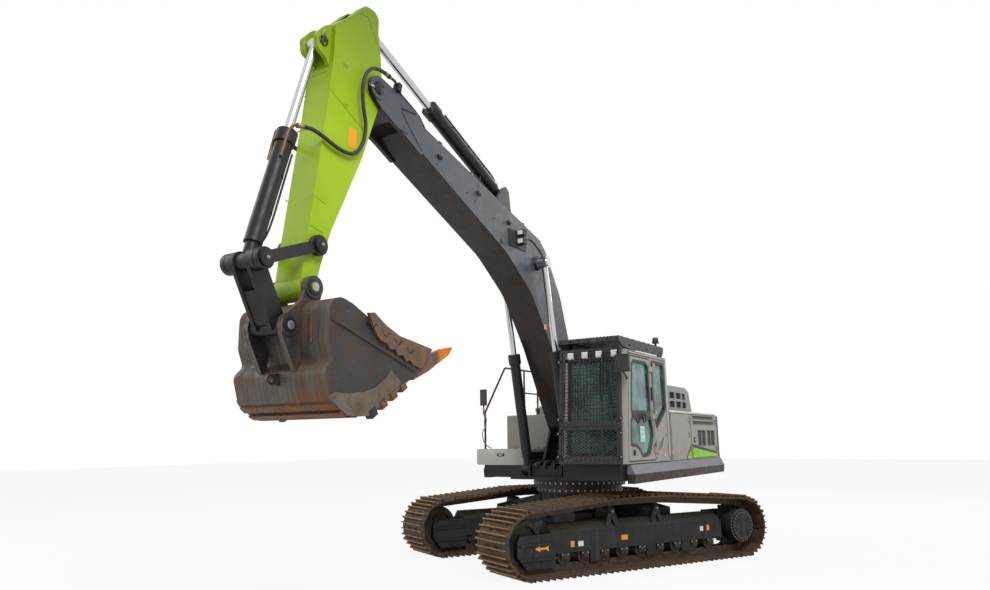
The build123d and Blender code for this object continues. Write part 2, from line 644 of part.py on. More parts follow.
def mirrors():
    """Left mirror on the cab's front corner, right mirror on the handrail's foot post."""
    left = block((CAB_OUT - 60, CAB_OUT + 150), (-1735, -1690), (2775, 3025))
    left += rod((CAB_OUT + 40, -1700, 2790), (CAB_OUT + 40, -1560, 2700), 14)
    left += rod((CAB_OUT + 40, -1560, 2700), (CAB_OUT - 8, -1450, 2700), 14) \
        - block((CAB_IN, CAB_OUT + FIT), (CAB_FRONT - 1, CAB_REAR), (2600, 2800))
    x, y = RAIL_X, RAIL_FRONT
    right = block((x - 55, x + 55), (y - 75, y - 25), (MIRROR_LOW, MIRROR_LOW + 275))
    return left, right


RAIL_X = -1450
RAIL_FRONT = -640
RAIL_FOOT = 1310
RAIL_TOP = 3150
RAIL_POSTS = (720, 1230)
RAIL_R = 17
MIRROR_LOW = 2445


def handrails():
    """Rails up the right side and along the tanks, with a stalk for the right mirror."""
    rear = RAIL_POSTS[1]
    rail = pipe([(RAIL_X, RAIL_FRONT, RAIL_FOOT), (RAIL_X, RAIL_FRONT, 2330), (RAIL_X, 30, RAIL_TOP),
                 (RAIL_X, rear, RAIL_TOP), (RAIL_X, rear, TANK_TOP + FIT)], RAIL_R, 90)
    rail += rod((RAIL_X, RAIL_POSTS[0], TANK_TOP + FIT), (RAIL_X, RAIL_POSTS[0], RAIL_TOP), RAIL_R)
    rail += rod((RAIL_X, RAIL_POSTS[0], 2725), (RAIL_X, rear, 2725), RAIL_R - 3)
    for z in (RAIL_FOOT + 20, 1420):
        foot = block((RAIL_X - 8, RAIL_X + 120), (RAIL_FRONT - 8, RAIL_FRONT + 8), (z, z + 30))
        rail += foot - plan_slab(right_deck_plan(-FIT), DECK_Z, TOOLBOX_TOP)
    stalk = pipe([(RAIL_X, RAIL_FRONT + 4, 2250), (RAIL_X, RAIL_FRONT - 50, 2310),
                  (RAIL_X, RAIL_FRONT - 50, MIRROR_LOW - FIT)], 11, 30)
    return rail + stalk


TANK_TOP = 2290
TANK_FRONT = 130
FUEL_REAR = 760
OIL_REAR = 1290
TOOLBOX_TOP = 1700
TOOLBOX_FRONT = -850
RIGHT_IN = -560


def right_deck_plan(inset):
    return [(RIGHT_IN - inset, TOOLBOX_FRONT + inset), (-1280, TOOLBOX_FRONT + inset),
            (-1481.5 + inset, -540 + inset), (-1481.5 + inset, TANK_FRONT - FIT),
            (RIGHT_IN - inset, TANK_FRONT - FIT)]


LID_HINGE = (TANK_FRONT - 30, TOOLBOX_TOP + 6)  # (y, z) of the lid's hinge line
LID_HINGES = (-1250, -800)
LID_HINGE_R = 12


def cross_knuckle(size, line, x, edge):
    """The moving half of a hinge along X: a bored knuckle with a leaf that reaches to an edge."""
    y, z = line
    leaf = block((x, x + 6 * size), sorted((edge, y)), (z - size, z))
    leaf += shaft((-y, z), size, x, x + 6 * size)
    return leaf - shaft((-y, z), size / 2 + FIT, x - 1, x + 6 * size + 1)


def cross_pin(size, line, x, floor, back):
    """The fixed half of a hinge along X: a pin and its two brackets beside the knuckle."""
    y, z = line
    pin = shaft((-y, z), size / 2, x - 3 * size, x + 9 * size)
    for start in (x - 3 * size, x + 6 * size + 4):
        end = start + 3 * size - 4
        pin += shaft((-y, z), size, start, end)
        pin += block((start, end), (y - size + 2, back), (floor, z))
    return pin


def toolbox():
    """Dark deck and an open-topped toolbox before the fuel tank."""
    plan = right_deck_plan(0)
    box = plan_slab(plan, DECK_Z + SIDE_PLAY, TOOLBOX_TOP - 45)
    box -= plan_slab(
        [(RIGHT_IN - 30, TOOLBOX_FRONT + 30), (-1260, TOOLBOX_FRONT + 30), (-1440, -520),
         (-1440, TANK_FRONT - 30), (RIGHT_IN - 30, TANK_FRONT - 30)], 1470, TOOLBOX_TOP)
    for x in LID_HINGES:
        box += cross_pin(LID_HINGE_R, LID_HINGE, x, TOOLBOX_TOP - 46, TANK_FRONT - 6)
    return box


def toolbox_lid():
    """Lid hinged along its rear edge."""
    rear = TANK_FRONT - 45
    lid = plan_slab(right_deck_plan(0)[:3] + [(-1481.5, rear), (RIGHT_IN, rear)],
                    TOOLBOX_TOP - 45 + FIT, TOOLBOX_TOP)
    for x in LID_HINGES:
        lid += cross_knuckle(LID_HINGE_R, LID_HINGE, x, rear - 4)
    return lid


def fuel_tank():
    tank = block((-1500, RIGHT_IN), (TANK_FRONT, FUEL_REAR), (DECK_Z + 40 + FIT, TANK_TOP))
    tank = fillet(tank.edges().filter_by(Axis.Z), 40)
    tank = fillet(tank.faces().sort_by(Axis.Z)[-1].edges(), 25)
    tank -= block((-1501, -1481), (TANK_FRONT - 1, FUEL_REAR + 1), (DECK_Z, SKIRT_TOP + FIT))
    return tank + Pos(-900, 450, TANK_TOP + 60) * Cylinder(70, 200)


def hydraulic_tank():
    tank = block((-1500, RIGHT_IN), (FUEL_REAR + 8, OIL_REAR), (DECK_Z + 40 + FIT, TANK_TOP))
    tank = fillet(tank.edges().filter_by(Axis.Z), 40)
    tank = fillet(tank.faces().sort_by(Axis.Z)[-1].edges(), 25)
    tank -= block((-1501, -1481), (FUEL_REAR, OIL_REAR + 1), (DECK_Z, SKIRT_TOP + FIT))
    return tank + Pos(-1030, 1040, TANK_TOP + 20) * Cylinder(110, 80)


# left and right housings: service doors as (front y, rear y)
LEFT_FRONT_DOOR = (290, 1235)
LEFT_REAR_DOOR = (1290, 2700)
RIGHT_DOOR = (1330, 2700)
DOOR_LOW, DOOR_HIGH = 1500, 2270
SERVICE_HINGE = 9
SERVICE_HINGES = (1640, 2120)
HOOD = (1380, 2740)  # engine hood along Y
HOOD_LEFT, HOOD_RIGHT = 1100, -900
HOOD_TOP = 2790
HOOD_HINGE = (HOOD[0] - 22, HOUSING_TOP + 20)  # (y, z) of the hood's hinge line
HOOD_HINGES = (-600, 700)
HOOD_HINGE_R = 14


RIGHT_FACE = -HALF_WIDTH + 40
SERVICE_DOORS = {  # outer face, front and rear edges, side
    "left_front_door": (HALF_WIDTH, LEFT_FRONT_DOOR, 1),
    "left_rear_door": (HALF_WIDTH, LEFT_REAR_DOOR, 1),
    "right_side_door": (RIGHT_FACE, RIGHT_DOOR, -1),
}


def housing():
    """Sheet-metal body behind the cab: side frames with door openings, roof and bulkheads."""
    outer = block((-HALF_WIDTH + 40, HALF_WIDTH), (260, REAR_Y), (SKIRT_TOP + FIT, HOUSING_TOP))
    edges = outer.edges().filter_by(Axis.Y).group_by(Axis.Z)[-1]
    outer = fillet(edges, 50)
    body = outer - block((-HALF_WIDTH + 80, HALF_WIDTH - 40), (300, REAR_Y - 40), (1400, HOUSING_TOP - 40))
    body -= block((-HALF_WIDTH, 560), (200, OIL_REAR + 10), (1400, 2400))
    body += block((520, 560), (260, OIL_REAR + 50), (SKIRT_TOP + FIT, HOUSING_TOP))
    body += block((-1500, 560), (OIL_REAR + 10, OIL_REAR + 50), (SKIRT_TOP + FIT, HOUSING_TOP))
    for y0, y1 in (LEFT_FRONT_DOOR, LEFT_REAR_DOOR):
        body -= block((HALF_WIDTH - 60, HALF_WIDTH + 1), (y0 - DOOR_GAP, y1 + DOOR_GAP),
                      (DOOR_LOW - DOOR_GAP, DOOR_HIGH + DOOR_GAP - 20))
    body -= block((-HALF_WIDTH, -HALF_WIDTH + 90), (RIGHT_DOOR[0] - DOOR_GAP, RIGHT_DOOR[1] + DOOR_GAP),
                  (DOOR_LOW - DOOR_GAP, DOOR_HIGH + DOOR_GAP - 20))
    body -= block((HOOD_RIGHT + 60, HOOD_LEFT - 60), (HOOD[0] + 60, HOOD[1] - 60), (2200, 2400))
    for z in SERVICE_HINGES:
        for face, edge, side in SERVICE_DOORS.values():
            body += hinge_pin(SERVICE_HINGE, face, edge[1], z, side, 26)
    for x in HOOD_HINGES:
        body += cross_pin(HOOD_HINGE_R, HOOD_HINGE, x, HOUSING_TOP - 1, HOOD_HINGE[0] + 10)
    return body


def service_door(name):
    """A flat door that fills its opening less the door gap, on two hinges at its rear edge."""
    face, (front, rear), side = SERVICE_DOORS[name]
    door = block(sorted((face, face - side * DOOR_SHEET)), (front, rear), (DOOR_LOW, DOOR_HIGH - 20))
    if name == "left_rear_door":
        for z in (2175, 2085):
            door -= block((face - 60, face + 1), (front + 100, rear - 110), (z, z + 60))
        for y in (front + 350, front + 890):
            door -= block((face - 60, face + 1), (y, y + 440), (1715, 1985))
    for z in SERVICE_HINGES:
        door = knuckle(door, SERVICE_HINGE, face, rear, z, side)
    return door


def engine_hood():
    """Raised hood over the engine, with a sloped rear and openings in its sides."""
    y0, y1 = HOOD
    base = HOUSING_TOP + FIT
    profile = [(y0, base), (y0, HOOD_TOP - 25), (y0 + 40, HOOD_TOP), (y1 - 330, HOOD_TOP),
               (y1 - 130, HOOD_TOP - 75), (y1, base + 60), (y1, base)]
    hood = slab(profile, HOOD_RIGHT, HOOD_LEFT)
    inner = [(y0 + 30, base - 1), (y0 + 30, HOOD_TOP - 50), (y0 + 50, HOOD_TOP - 30),
             (y1 - 345, HOOD_TOP - 30), (y1 - 155, HOOD_TOP - 98), (y1 - 30, base + 50),
             (y1 - 30, base - 1)]
    hood -= slab(inner, HOOD_RIGHT + 30, HOOD_LEFT - 30)
    for row, z in enumerate((HOUSING_TOP + 100, HOUSING_TOP + 260)):
        for i in range(3):
            y = y0 + 150 + i * 340
            width = 270 if i < 2 else 230 - 60 * row
            hood -= block((HOOD_LEFT - 60, HOOD_LEFT + 1), (y, y + width), (z, z + 120))
    for x in HOOD_HINGES:
        hood += cross_knuckle(HOOD_HINGE_R, HOOD_HINGE, x, y0 + 5)
    return hood


def engine_block():
    """The engine as one plain block on four feet."""
    engine = block((-420, 620), (1560, 2380), (1480, 2230))
    for x in (-400, 520):
        for y in (1600, 2260):
            engine += block((x, x + 80), (y, y + 80), (DECK_Z + 40 + FIT, 1481))
    return engine


def control_valve():
    """Valve block, swing drive and lines in the well between the main plates."""
    valve = block((-190, 190), (60, 420), (DECK_Z + 40 + FIT, 1640))
    drive = Pos(0, -520, 1430) * Cylinder(150, 2 * (1430 - DECK_Z - 40 - FIT))
    drive += Pos(0, -520, 1500) * Cylinder(115, 360) - Pos(0, -520, 1400) * Cylinder(120, 100)
    return Compound([valve, drive])


# ---------------------------------------------------------------- attachment
BOOM_BACK = [(4600, 5735), (1527, 4894), (990, 4120), (738, 3460), (300, 2555)]
BACK_ROUNDS = [650, 900, 1200]
BOOM_BELLY = [  # (reach, height) and radius, from the foot forwards
    ((60, 2060), 80), ((230, 1810), 80), ((560, 2010), 300), ((1330, 3270), 1500),
    ((1930, 4040), 1200), ((2640, 4530), 1200), ((4700, 5415), 200), ((4930, 5560), 40),
    ((4870, 5810), 40),
]
BOOM_FORK = [(4600, 5330), (4600, 5775), (4723, 5860), (5010, 5965), (5389, 6052), (5500, 6032),
             (5562, 5945), (5560, 5850), (5525, 5785), (5465, 5735), (5370, 5668), (4900, 5470)]


def boom():
    """Box-section boom: bent beam, fork plates at the tip, foot boss and cylinder brackets."""
    line = [(-reach, z) for (reach, z), _ in BOOM_BELLY] + [(-reach, z) for reach, z in BOOM_BACK[:-1]]
    rounds = [radius for _, radius in BOOM_BELLY] + [60] + BACK_ROUNDS
    beam = slab(line, -BOOM_HALF, BOOM_HALF, rounds)
    beam -= Pos(-BOOM_HALF + BOOM_WALL, 0, 0) * extrude(
        shrink(line, BOOM_WALL, rounds), amount=2 * (BOOM_HALF - BOOM_WALL), dir=(1, 0, 0))
    beam += shaft(BOOM_FOOT, 165, -BOOM_HALF, BOOM_HALF)
    fork = reach_slab(BOOM_FORK, ARM_HALF + SIDE_PLAY, BOOM_HALF, 30)
    fork += shaft(BOOM_TIP, 140, BOOM_HALF - 1, BOOM_HALF + 12)
    beam += both_sides(fork)
    beam -= shaft(BOOM_FOOT, PIN_R + 5 + FIT, -BOOM_HALF - 10, BOOM_HALF + 10)
    beam += shaft(BOOM_TIP, PIN_R, -BOOM_HALF, BOOM_HALF)
    ear = [(2250, 5070), (2330, 5540), (2420, 5600), (2510, 5550), (2760, 5200)]
    beam += both_sides(reach_slab(ear, EAR_GAP + 5, EAR_GAP + 50, 20))
    beam += shaft(ARM_CYL_BASE, EAR_PIN_R, -EAR_GAP - 50, EAR_GAP + 50)
    beam += both_sides(shaft(BOOM_CYL_PIN, 110, BOOM_HALF - 1, BOOM_CYL_IN - 5))
    return beam


def shrink(points, by, radius=0):
    """A face inside an outline of (y, z) points, a margin away from it."""
    return offset(make_face(outline(points, radius)), amount=-by)


def boom_lamps():
    """Two work lamps on a bracket on the boom's left side."""
    bracket = block((BOOM_HALF + FIT, BOOM_HALF + 12), (-2560, -2080), (4640, 4900))
    for z in (4700, 4830):
        bracket += block((BOOM_HALF + 11, BOOM_HALF + 120), (-2340, -2240), (z, z + 90))
    return bracket


PIPE_R = 16


def raised(points, by):
    """An open (reach, height) line moved square to itself, upwards for a line that runs back."""
    moved = []
    for i, (reach, z) in enumerate(points):
        before, after = points[max(i - 1, 0)], points[min(i + 1, len(points) - 1)]
        a = atan2(z - before[1], reach - before[0]) if i else None
        b = atan2(after[1] - z, after[0] - reach) if i < len(points) - 1 else a
        a = b if a is None else a
        normal = (a + b) / 2 - pi / 2
        stretch = by / cos((a - b) / 2)
        moved.append((reach + stretch * cos(normal), z + stretch * sin(normal)))
    return moved


CLAMPS = [(0, 0.133), (0, 0.397), (0, 0.693), (2, 0.5), (3, 0.35)]  # boom back segment, share along it


def clamp_outline(start, end, share, height=2 * PIPE_R + 22):
    """A clamp's outline, seated on the segment from start to end of the boom's upper edge."""
    length = span(start, end)
    u = ((end[0] - start[0]) / length, (end[1] - start[1]) / length)
    n = (u[1], -u[0])
    middle = (start[0] + share * length * u[0], start[1] + share * length * u[1])
    corners = [(-30, FIT), (30, FIT), (30, height), (-30, height)]
    return [(middle[0] + i * u[0] + k * n[0], middle[1] + i * u[1] + k * n[1]) for i, k in corners]


# the hose from the boom to the bucket cylinder, as (from the middle, reach, height), and the pipe
# that brings it over the boom's fork
HOSE_R = 22
HOSE_ROUTE = [
    (285, 5328, 6103), (300, 5519, 6116), (300, 5699, 5991), (295, 5760, 5780), (275, 5716, 5543),
    (255, 5635, 5362), (240, 5658, 5131), (235, 5797, 4952), (235, 5991, 4934), (235, 6168, 4976),
    (225, 6316, 5026), (190, 6435, 5057), (150, 6530, 5050),
]
TIP_ROUTE = [(225, 5010, 6000), (215, 4723, 5900), (205, 4610, 5850), (195, 4480, 5731)]
SLEEVE = 70  # length of the hose's end sleeves


def on_side(points, side):
    """(from the middle, reach, height) points on the left (1) or the right (-1)."""
    return [Vector(side * x, -reach, z) for x, reach, z in points]


def toward(start, end, distance):
    """The point at a distance from one point towards another."""
    return start + (end - start).normalized() * distance


def hose(side):
    """A pressure hose from the boom's pipe to the bucket cylinder's head."""
    points = on_side(HOSE_ROUTE, side)
    radii = []
    for before, corner, after in zip(points, points[1:], points[2:]):
        turn = radians((corner - before).get_angle(after - corner))
        shorter = min((corner - before).length, (after - corner).length)
        radii.append(0.45 * shorter / tan(turn / 2))
    print("hose radii", [round(radius) for radius in radii])
    tube = pipe(points, HOSE_R, radii)
    for end, neighbour in ((points[0], points[1]), (points[-1], points[-2])):
        tube += rod(end, toward(end, neighbour, SLEEVE), HOSE_R + 5)
    return tube


def boom_pipes():
    """Pairs of pressure pipes along the boom's back, with their clamps."""
    line = raised(BOOM_BACK, PIPE_R + 12)
    parts = []
    for side in (-1, 1):
        pair = pipe(on_side([(150, *point) for point in line], side), PIPE_R, BACK_ROUNDS)
        joint, after = on_side(HOSE_ROUTE[:2], side)
        tip = [toward(joint, after, -FIT), toward(joint, after, -150)] + on_side(TIP_ROUTE, side)
        tip += on_side([(195, *point) for point in line[1:]], side)
        pair += pipe(tip, PIPE_R, [80, 80, 80, 80, 80] + BACK_ROUNDS)
        pair += rod(tip[0], toward(tip[0], tip[1], 45), HOSE_R + 5)
        corners = clamp_outline(BOOM_FORK[4], BOOM_FORK[3], 0.73, 108)
        pair += reach_slab(corners, *sorted((side * 205, side * 295)))
        for segment, share in CLAMPS:
            corners = clamp_outline(*BOOM_BACK[segment:segment + 2], share)
            pair += reach_slab(corners, *sorted((side * 125, side * 220)))
        parts.append(pair)
    return Compound(parts)


def barrel(base, eye, length, neck, radius, rod_radius, eye_radius, middle, half):
    """A barrel of a length, from a solid eye at base towards the rod's eye, bored for its rod.

    neck is where the full radius starts; half is half the eye's width."""
    start = along(base, eye, eye_radius - 20, middle)
    shoulder = along(base, eye, neck, middle)
    end = along(base, eye, length, middle)
    piece = rod(start, along(base, eye, neck + 10, middle), min(half, radius) - 3)
    piece += rod(shoulder, end, radius)
    piece += rod(along(base, eye, length - GLAND, middle), end, radius + GLAND_RIM)
    piece += shaft(base, eye_radius, middle - half, middle + half)
    bore = rod(along(base, eye, BORE_FLOOR, middle), along(base, eye, length + 10, middle),
               rod_radius + FIT)
    return piece - bore


def piston_rod(base, eye, inner_end, rod_radius, eye_radius, middle, half):
    """A rod from inside its barrel to its eye."""
    piece = rod(along(base, eye, inner_end, middle), along(base, eye, span(base, eye), middle),
                rod_radius)
    return piece + shaft(eye, eye_radius, middle - half, middle + half)


def boom_barrel(side):
    half = (BOOM_CYL_OUT - BOOM_CYL_IN) / 2
    middle = side * (BOOM_CYL_IN + half)
    piece = barrel(BOOM_CYL_BASE, BOOM_CYL_PIN, BOOM_HEAD, 205, BOOM_CYL_R, BOOM_ROD_R, 90, middle, half)
    return piece - shaft(BOOM_CYL_BASE, BASE_PIN_R + FIT, middle - half - 1, middle + half + 1)


def boom_rod(side):
    half = (BOOM_CYL_OUT - BOOM_CYL_IN) / 2
    middle = side * (BOOM_CYL_IN + half)
    piece = piston_rod(BOOM_CYL_BASE, BOOM_CYL_PIN, 1300, BOOM_ROD_R, 90, middle, half)
    cap = sorted((side * (BOOM_CYL_OUT - 1), side * (BOOM_CYL_OUT + 14)))
    return piece + shaft(BOOM_CYL_PIN, 65, *cap)


def arm_barrel():
    piece = barrel(ARM_CYL_BASE, ARM_CYL_PIN, ARM_HEAD, 190, ARM_CYL_R, ROD_R, 92, 0, EAR_GAP)
    return piece - shaft(ARM_CYL_BASE, EAR_PIN_R + FIT, -EAR_GAP - 1, EAR_GAP + 1)


def arm_rod():
    return piston_rod(ARM_CYL_BASE, ARM_CYL_PIN, 1310, ROD_R, 90, 0, EAR_GAP)


ARM_LINE = [  # (reach, height) and radius, round the arm from its top
    ((5396, 6640), 60), ((5388, 6892), 110), ((5625, 6892), 150), ((5835, 6655), 90),
    ((6095, 6415), 60), ((6108, 6050), 200), ((6195, 5300), 300), ((6400, 3879), 300),
    ((6452, 3457), 60),
    ((6440, 3300), 60), ((6290, 3270), 60), ((6206, 3612), 300), ((6075, 4013), 900),
    ((5635, 4960), 500), ((5394, 5618), 500), ((5311, 5950), 300), ((5340, 6300), 500),
]
ARM_SLOT = [(5352, 6400), (5705, 6400), (5875, 6570), (5875, 6612)]  # underside of the slot's floor


def arm():
    """Box-section arm with plates round the cylinder's eye, bucket cylinder ears and bosses."""
    line = [(-reach, z) for (reach, z), _ in ARM_LINE]
    rounds = [radius for _, radius in ARM_LINE]
    beam = slab(line, -ARM_HALF, ARM_HALF, rounds)
    beam -= Pos(-ARM_HALF + ARM_WALL, 0, 0) * extrude(
        shrink(line, ARM_WALL, rounds), amount=2 * (ARM_HALF - ARM_WALL), dir=(1, 0, 0))
    beam += shaft(ARM_CYL_PIN, 88, -ARM_HALF, ARM_HALF)
    upper = [(reach, z + 20) for reach, z in ARM_SLOT[:2]] + [(5860, 6578)]
    slot = [(5200, 7000), (5860, 7000)] + upper[::-1] + [(5200, upper[0][1])]
    beam -= reach_slab(slot, -EAR_GAP - SIDE_PLAY, EAR_GAP + SIDE_PLAY)
    floor = ARM_SLOT + [(5860, 6624)] + upper[::-1]
    beam += reach_slab(floor, -ARM_HALF + 5, ARM_HALF - 5)
    beam += shaft(BOOM_TIP, 150, -ARM_HALF, ARM_HALF) & slab(line, -ARM_HALF, ARM_HALF, rounds)
    beam -= shaft(BOOM_TIP, PIN_R + FIT, -ARM_HALF - 1, ARM_HALF + 1)
    beam += shaft(BUCKET_PIN, 125, -ARM_HALF, ARM_HALF)
    beam += shaft(BUCKET_PIN, 50, -295, 295)
    beam += shaft(IDLER_PIN, 45, -290, 290)
    beam += both_sides(shaft(IDLER_PIN, 95, ARM_HALF - 1, ARM_HALF + 12))
    ear = [(6050, 6425), (6175, 6385), (6325, 6210), (6305, 6060), (6170, 5990), (6120, 5900),
           (6060, 6000)]
    beam += both_sides(reach_slab(ear, EAR_GAP + 5, EAR_GAP + 55, [20, 130, 80, 60, 60, 20, 20]))
    beam += shaft(BUCKET_CYL_PIN, EAR_PIN_R, -EAR_GAP - 55, EAR_GAP + 55)
    return beam


LINK_X0, LINK_X1 = 207, 262


def idler_links():
    """The pair of links from the arm to the linkage pin."""
    parts = []
    for side in (-1, 1):
        x0, x1 = sorted((side * LINK_X0, side * LINK_X1))
        link = bar_between(IDLER_PIN, LINK_PIN, 62, x0, x1)
        link += shaft(IDLER_PIN, 108, x0, x1) + shaft(LINK_PIN, 108, x0, x1)
        link += shaft(LINK_PIN, 60, *sorted((side * (LINK_X1 - 1), side * (LINK_X1 + 22))))
        link -= shaft(IDLER_PIN, 45 + FIT, x0 - 1, x1 + 1)
        parts.append(link)
    return Compound(parts)


def bar_between(a, b, half, x0, x1):
    """A straight plate between two (reach, height) pins."""
    length = span(a, b)
    u = ((b[0] - a[0]) / length, (b[1] - a[1]) / length)
    n = (-u[1], u[0])
    corners = [(a[0] + n[0] * half, a[1] + n[1] * half), (b[0] + n[0] * half, b[1] + n[1] * half),
               (b[0] - n[0] * half, b[1] - n[1] * half), (a[0] - n[0] * half, a[1] - n[1] * half)]
    return reach_slab(corners, x0, x1)


H_IN, H_OUT = 85, 130  # the link's plates, from the middle
H_TUBE = 200  # half the length of its tube at the bucket
H_EDGE = 102  # half the depth of its plates


def h_link():
    """Boxed link between the linkage pin and the bucket."""
    plates = bar_between(BUCKET_LINK_PIN, LINK_PIN, H_EDGE, H_IN, H_OUT)
    plates += shaft(LINK_PIN, 108, EAR_GAP + 3, H_TUBE - 2)
    link = both_sides(plates)
    near = along(BUCKET_LINK_PIN, LINK_PIN, 60)
    far = along(BUCKET_LINK_PIN, LINK_PIN, span(BUCKET_LINK_PIN, LINK_PIN) - 270)
    near, far = (-near[1], near[2]), (-far[1], far[2])
    link += bar_between(near, far, H_EDGE - 10, -H_IN - 1, H_IN + 1) \
        - bar_between(near, far, H_EDGE - 30, -H_IN, H_IN)
    link += shaft(BUCKET_LINK_PIN, 82, -H_TUBE, H_TUBE)
    return link - shaft(BUCKET_LINK_PIN, 45 + FIT, -H_TUBE - 1, H_TUBE + 1)


def bucket_rod():
    """Rod of the bucket cylinder, whose eye hangs from the arm's ears."""
    piece = piston_rod(LINK_PIN, BUCKET_CYL_PIN, 1150, BUCKET_ROD_R, 70, 0, EAR_GAP)
    return piece - shaft(BUCKET_CYL_PIN, EAR_PIN_R + FIT, -EAR_GAP - 1, EAR_GAP + 1)


def bucket_barrel():
    """Barrel of the bucket cylinder, its eye at the linkage pin."""
    return barrel(LINK_PIN, BUCKET_CYL_PIN, BUCKET_HEAD, 200, BUCKET_CYL_R, BUCKET_ROD_R, 85, 0,
                  EAR_GAP - 3)


BUCKET_BACK = [(6200, 3180), (6503, 3262), (6503, 2790), (6432, 2612), (6548, 2502), (6465, 2225),
               (6240, 2085), (5940, 2085), (5163, 2569)]
BUCKET_ROUNDS = [150, 160, 60, 90, 150, 200, 260]
BUCKET_CHEEK = [(6200, 3180), (5990, 3085), (5740, 2985), (5290, 2865), (5110, 2760), (5163, 2569),
                (5700, 2700)]  # the side plates' edge round the mouth
BUCKET_LIP = [(5251, 2561), (5108, 2651), (5087, 2617), (5230, 2527)]
BUCKET_BAR = [(6480, 2985), (6468, 3022), (5200, 2612), (5214, 2575)]
BUCKET_WEAR = [(6420, 2302), (6248, 2297), (6020, 2321), (5862, 2370), (5699, 2476), (5616, 2566),
               (5450, 2450), (5600, 2100), (6200, 1900), (6600, 2200)]
EAR_X0, EAR_X1 = 208, 262


def bucket_profile():
    """The shell's closed outline, with the mouth as its straight side."""
    line = FilletPolyline(*[(0, -reach, z) for reach, z in BUCKET_BACK], radius=BUCKET_ROUNDS)
    return make_face(Wire(list(line.edges()) + [Line(line @ 1, line @ 0)]))


def bucket():
    """Curved shell, two side plates with a bar and a wear plate, ears, the lip and a lifting eye."""
    closed = bucket_profile()
    half, inner = BUCKET_HALF, BUCKET_HALF - BUCKET_WALL
    full = Pos(-half, 0, 0) * extrude(closed, amount=2 * half, dir=(1, 0, 0))
    hollow = Pos(-inner, 0, 0) * extrude(
        offset(closed, amount=-BUCKET_WALL, kind=Kind.INTERSECTION), amount=2 * inner, dir=(1, 0, 0))
    mouth = reach_slab([(6190, 3120), (6195, 3160), (6100, 3400), (4900, 3100), (5190, 2600),
                        (5215, 2572), (5260, 2560)], -inner, inner)
    shell = full - hollow - mouth
    side = reach_slab(BUCKET_CHEEK, inner, half)
    side += reach_slab(BUCKET_BAR, half - 1, half + 16)
    side += reach_slab(BUCKET_WEAR, half - 1, half + 10) \
        & Pos(half - 2, 0, 0) * extrude(closed, amount=30, dir=(1, 0, 0))
    shell += both_sides(side)
    shell += reach_slab(BUCKET_LIP, -half, half)
    ear = [(6268, 3442), (6418, 3452), (6500, 3215), (6738, 3010), (6735, 2850), (6560, 2520),
           (6495, 2500), (6450, 3010), (6350, 3200), (6270, 3200), (6240, 3310)]
    ears = reach_slab(ear, EAR_X0, EAR_X1)
    ears += shaft(BUCKET_PIN, 115, EAR_X0, EAR_X1 + 18)
    ears += shaft(BUCKET_LINK_PIN, 100, EAR_X0, EAR_X1 + 18)
    shell += both_sides(ears - full)
    eye = reach_slab([(6440, 2380), (6440, 2520), (6632, 2490), (6632, 2390)], -20, 20)
    eye += shaft(BUCKET_EYE, 52, -20, 20)
    shell += eye - full
    shell -= shaft(BUCKET_EYE, BUCKET_EYE_R, -30, 30)
    shell -= shaft(BUCKET_PIN, 50 + FIT, -400, 400)
    shell += shaft(BUCKET_LINK_PIN, 45, -290, 290)
    return shell


TEETH = 5
ADAPTER = [(5240, 2600), (5110, 2690), (4935, 2780), (4860, 2665), (4979, 2599), (5230, 2490)]
TOOTH_POINT = [(4945, 2775), (4675, 2879), (4510, 2916), (4500, 2902), (4569, 2819), (4753, 2715),
               (4880, 2655)]
SIDE_CUTTER = [(5996, 3113), (5907, 3126), (5736, 3021), (5516, 2932), (5287, 2898), (4957, 2847),
               (4996, 2777), (5141, 2614), (5283, 2648), (5330, 2690), (5400, 2672), (5450, 2735),
               (5530, 2722), (5580, 2785), (5660, 2775), (5710, 2835), (5800, 2850), (5880, 2919)]
CUTTER_THICK = 32


def bucket_teeth():
    """Tooth adapters with points along the lip, and the notched side cutters."""
    pieces = []
    pitch = (2 * BUCKET_HALF - 130) / (TEETH - 1)
    for i in range(TEETH):
        x = -BUCKET_HALF + 65 + i * pitch
        pieces.append(reach_slab(ADAPTER, x - 62, x + 62) + reach_slab(TOOTH_POINT, x - 45, x + 45))
    for side in (-1, 1):
        faces = sorted((side * (BUCKET_HALF + FIT), side * (BUCKET_HALF + CUTTER_THICK)))
        pieces.append(reach_slab(SIDE_CUTTER, *faces))
    blade = bucket()
    return Compound([piece - blade for piece in pieces])


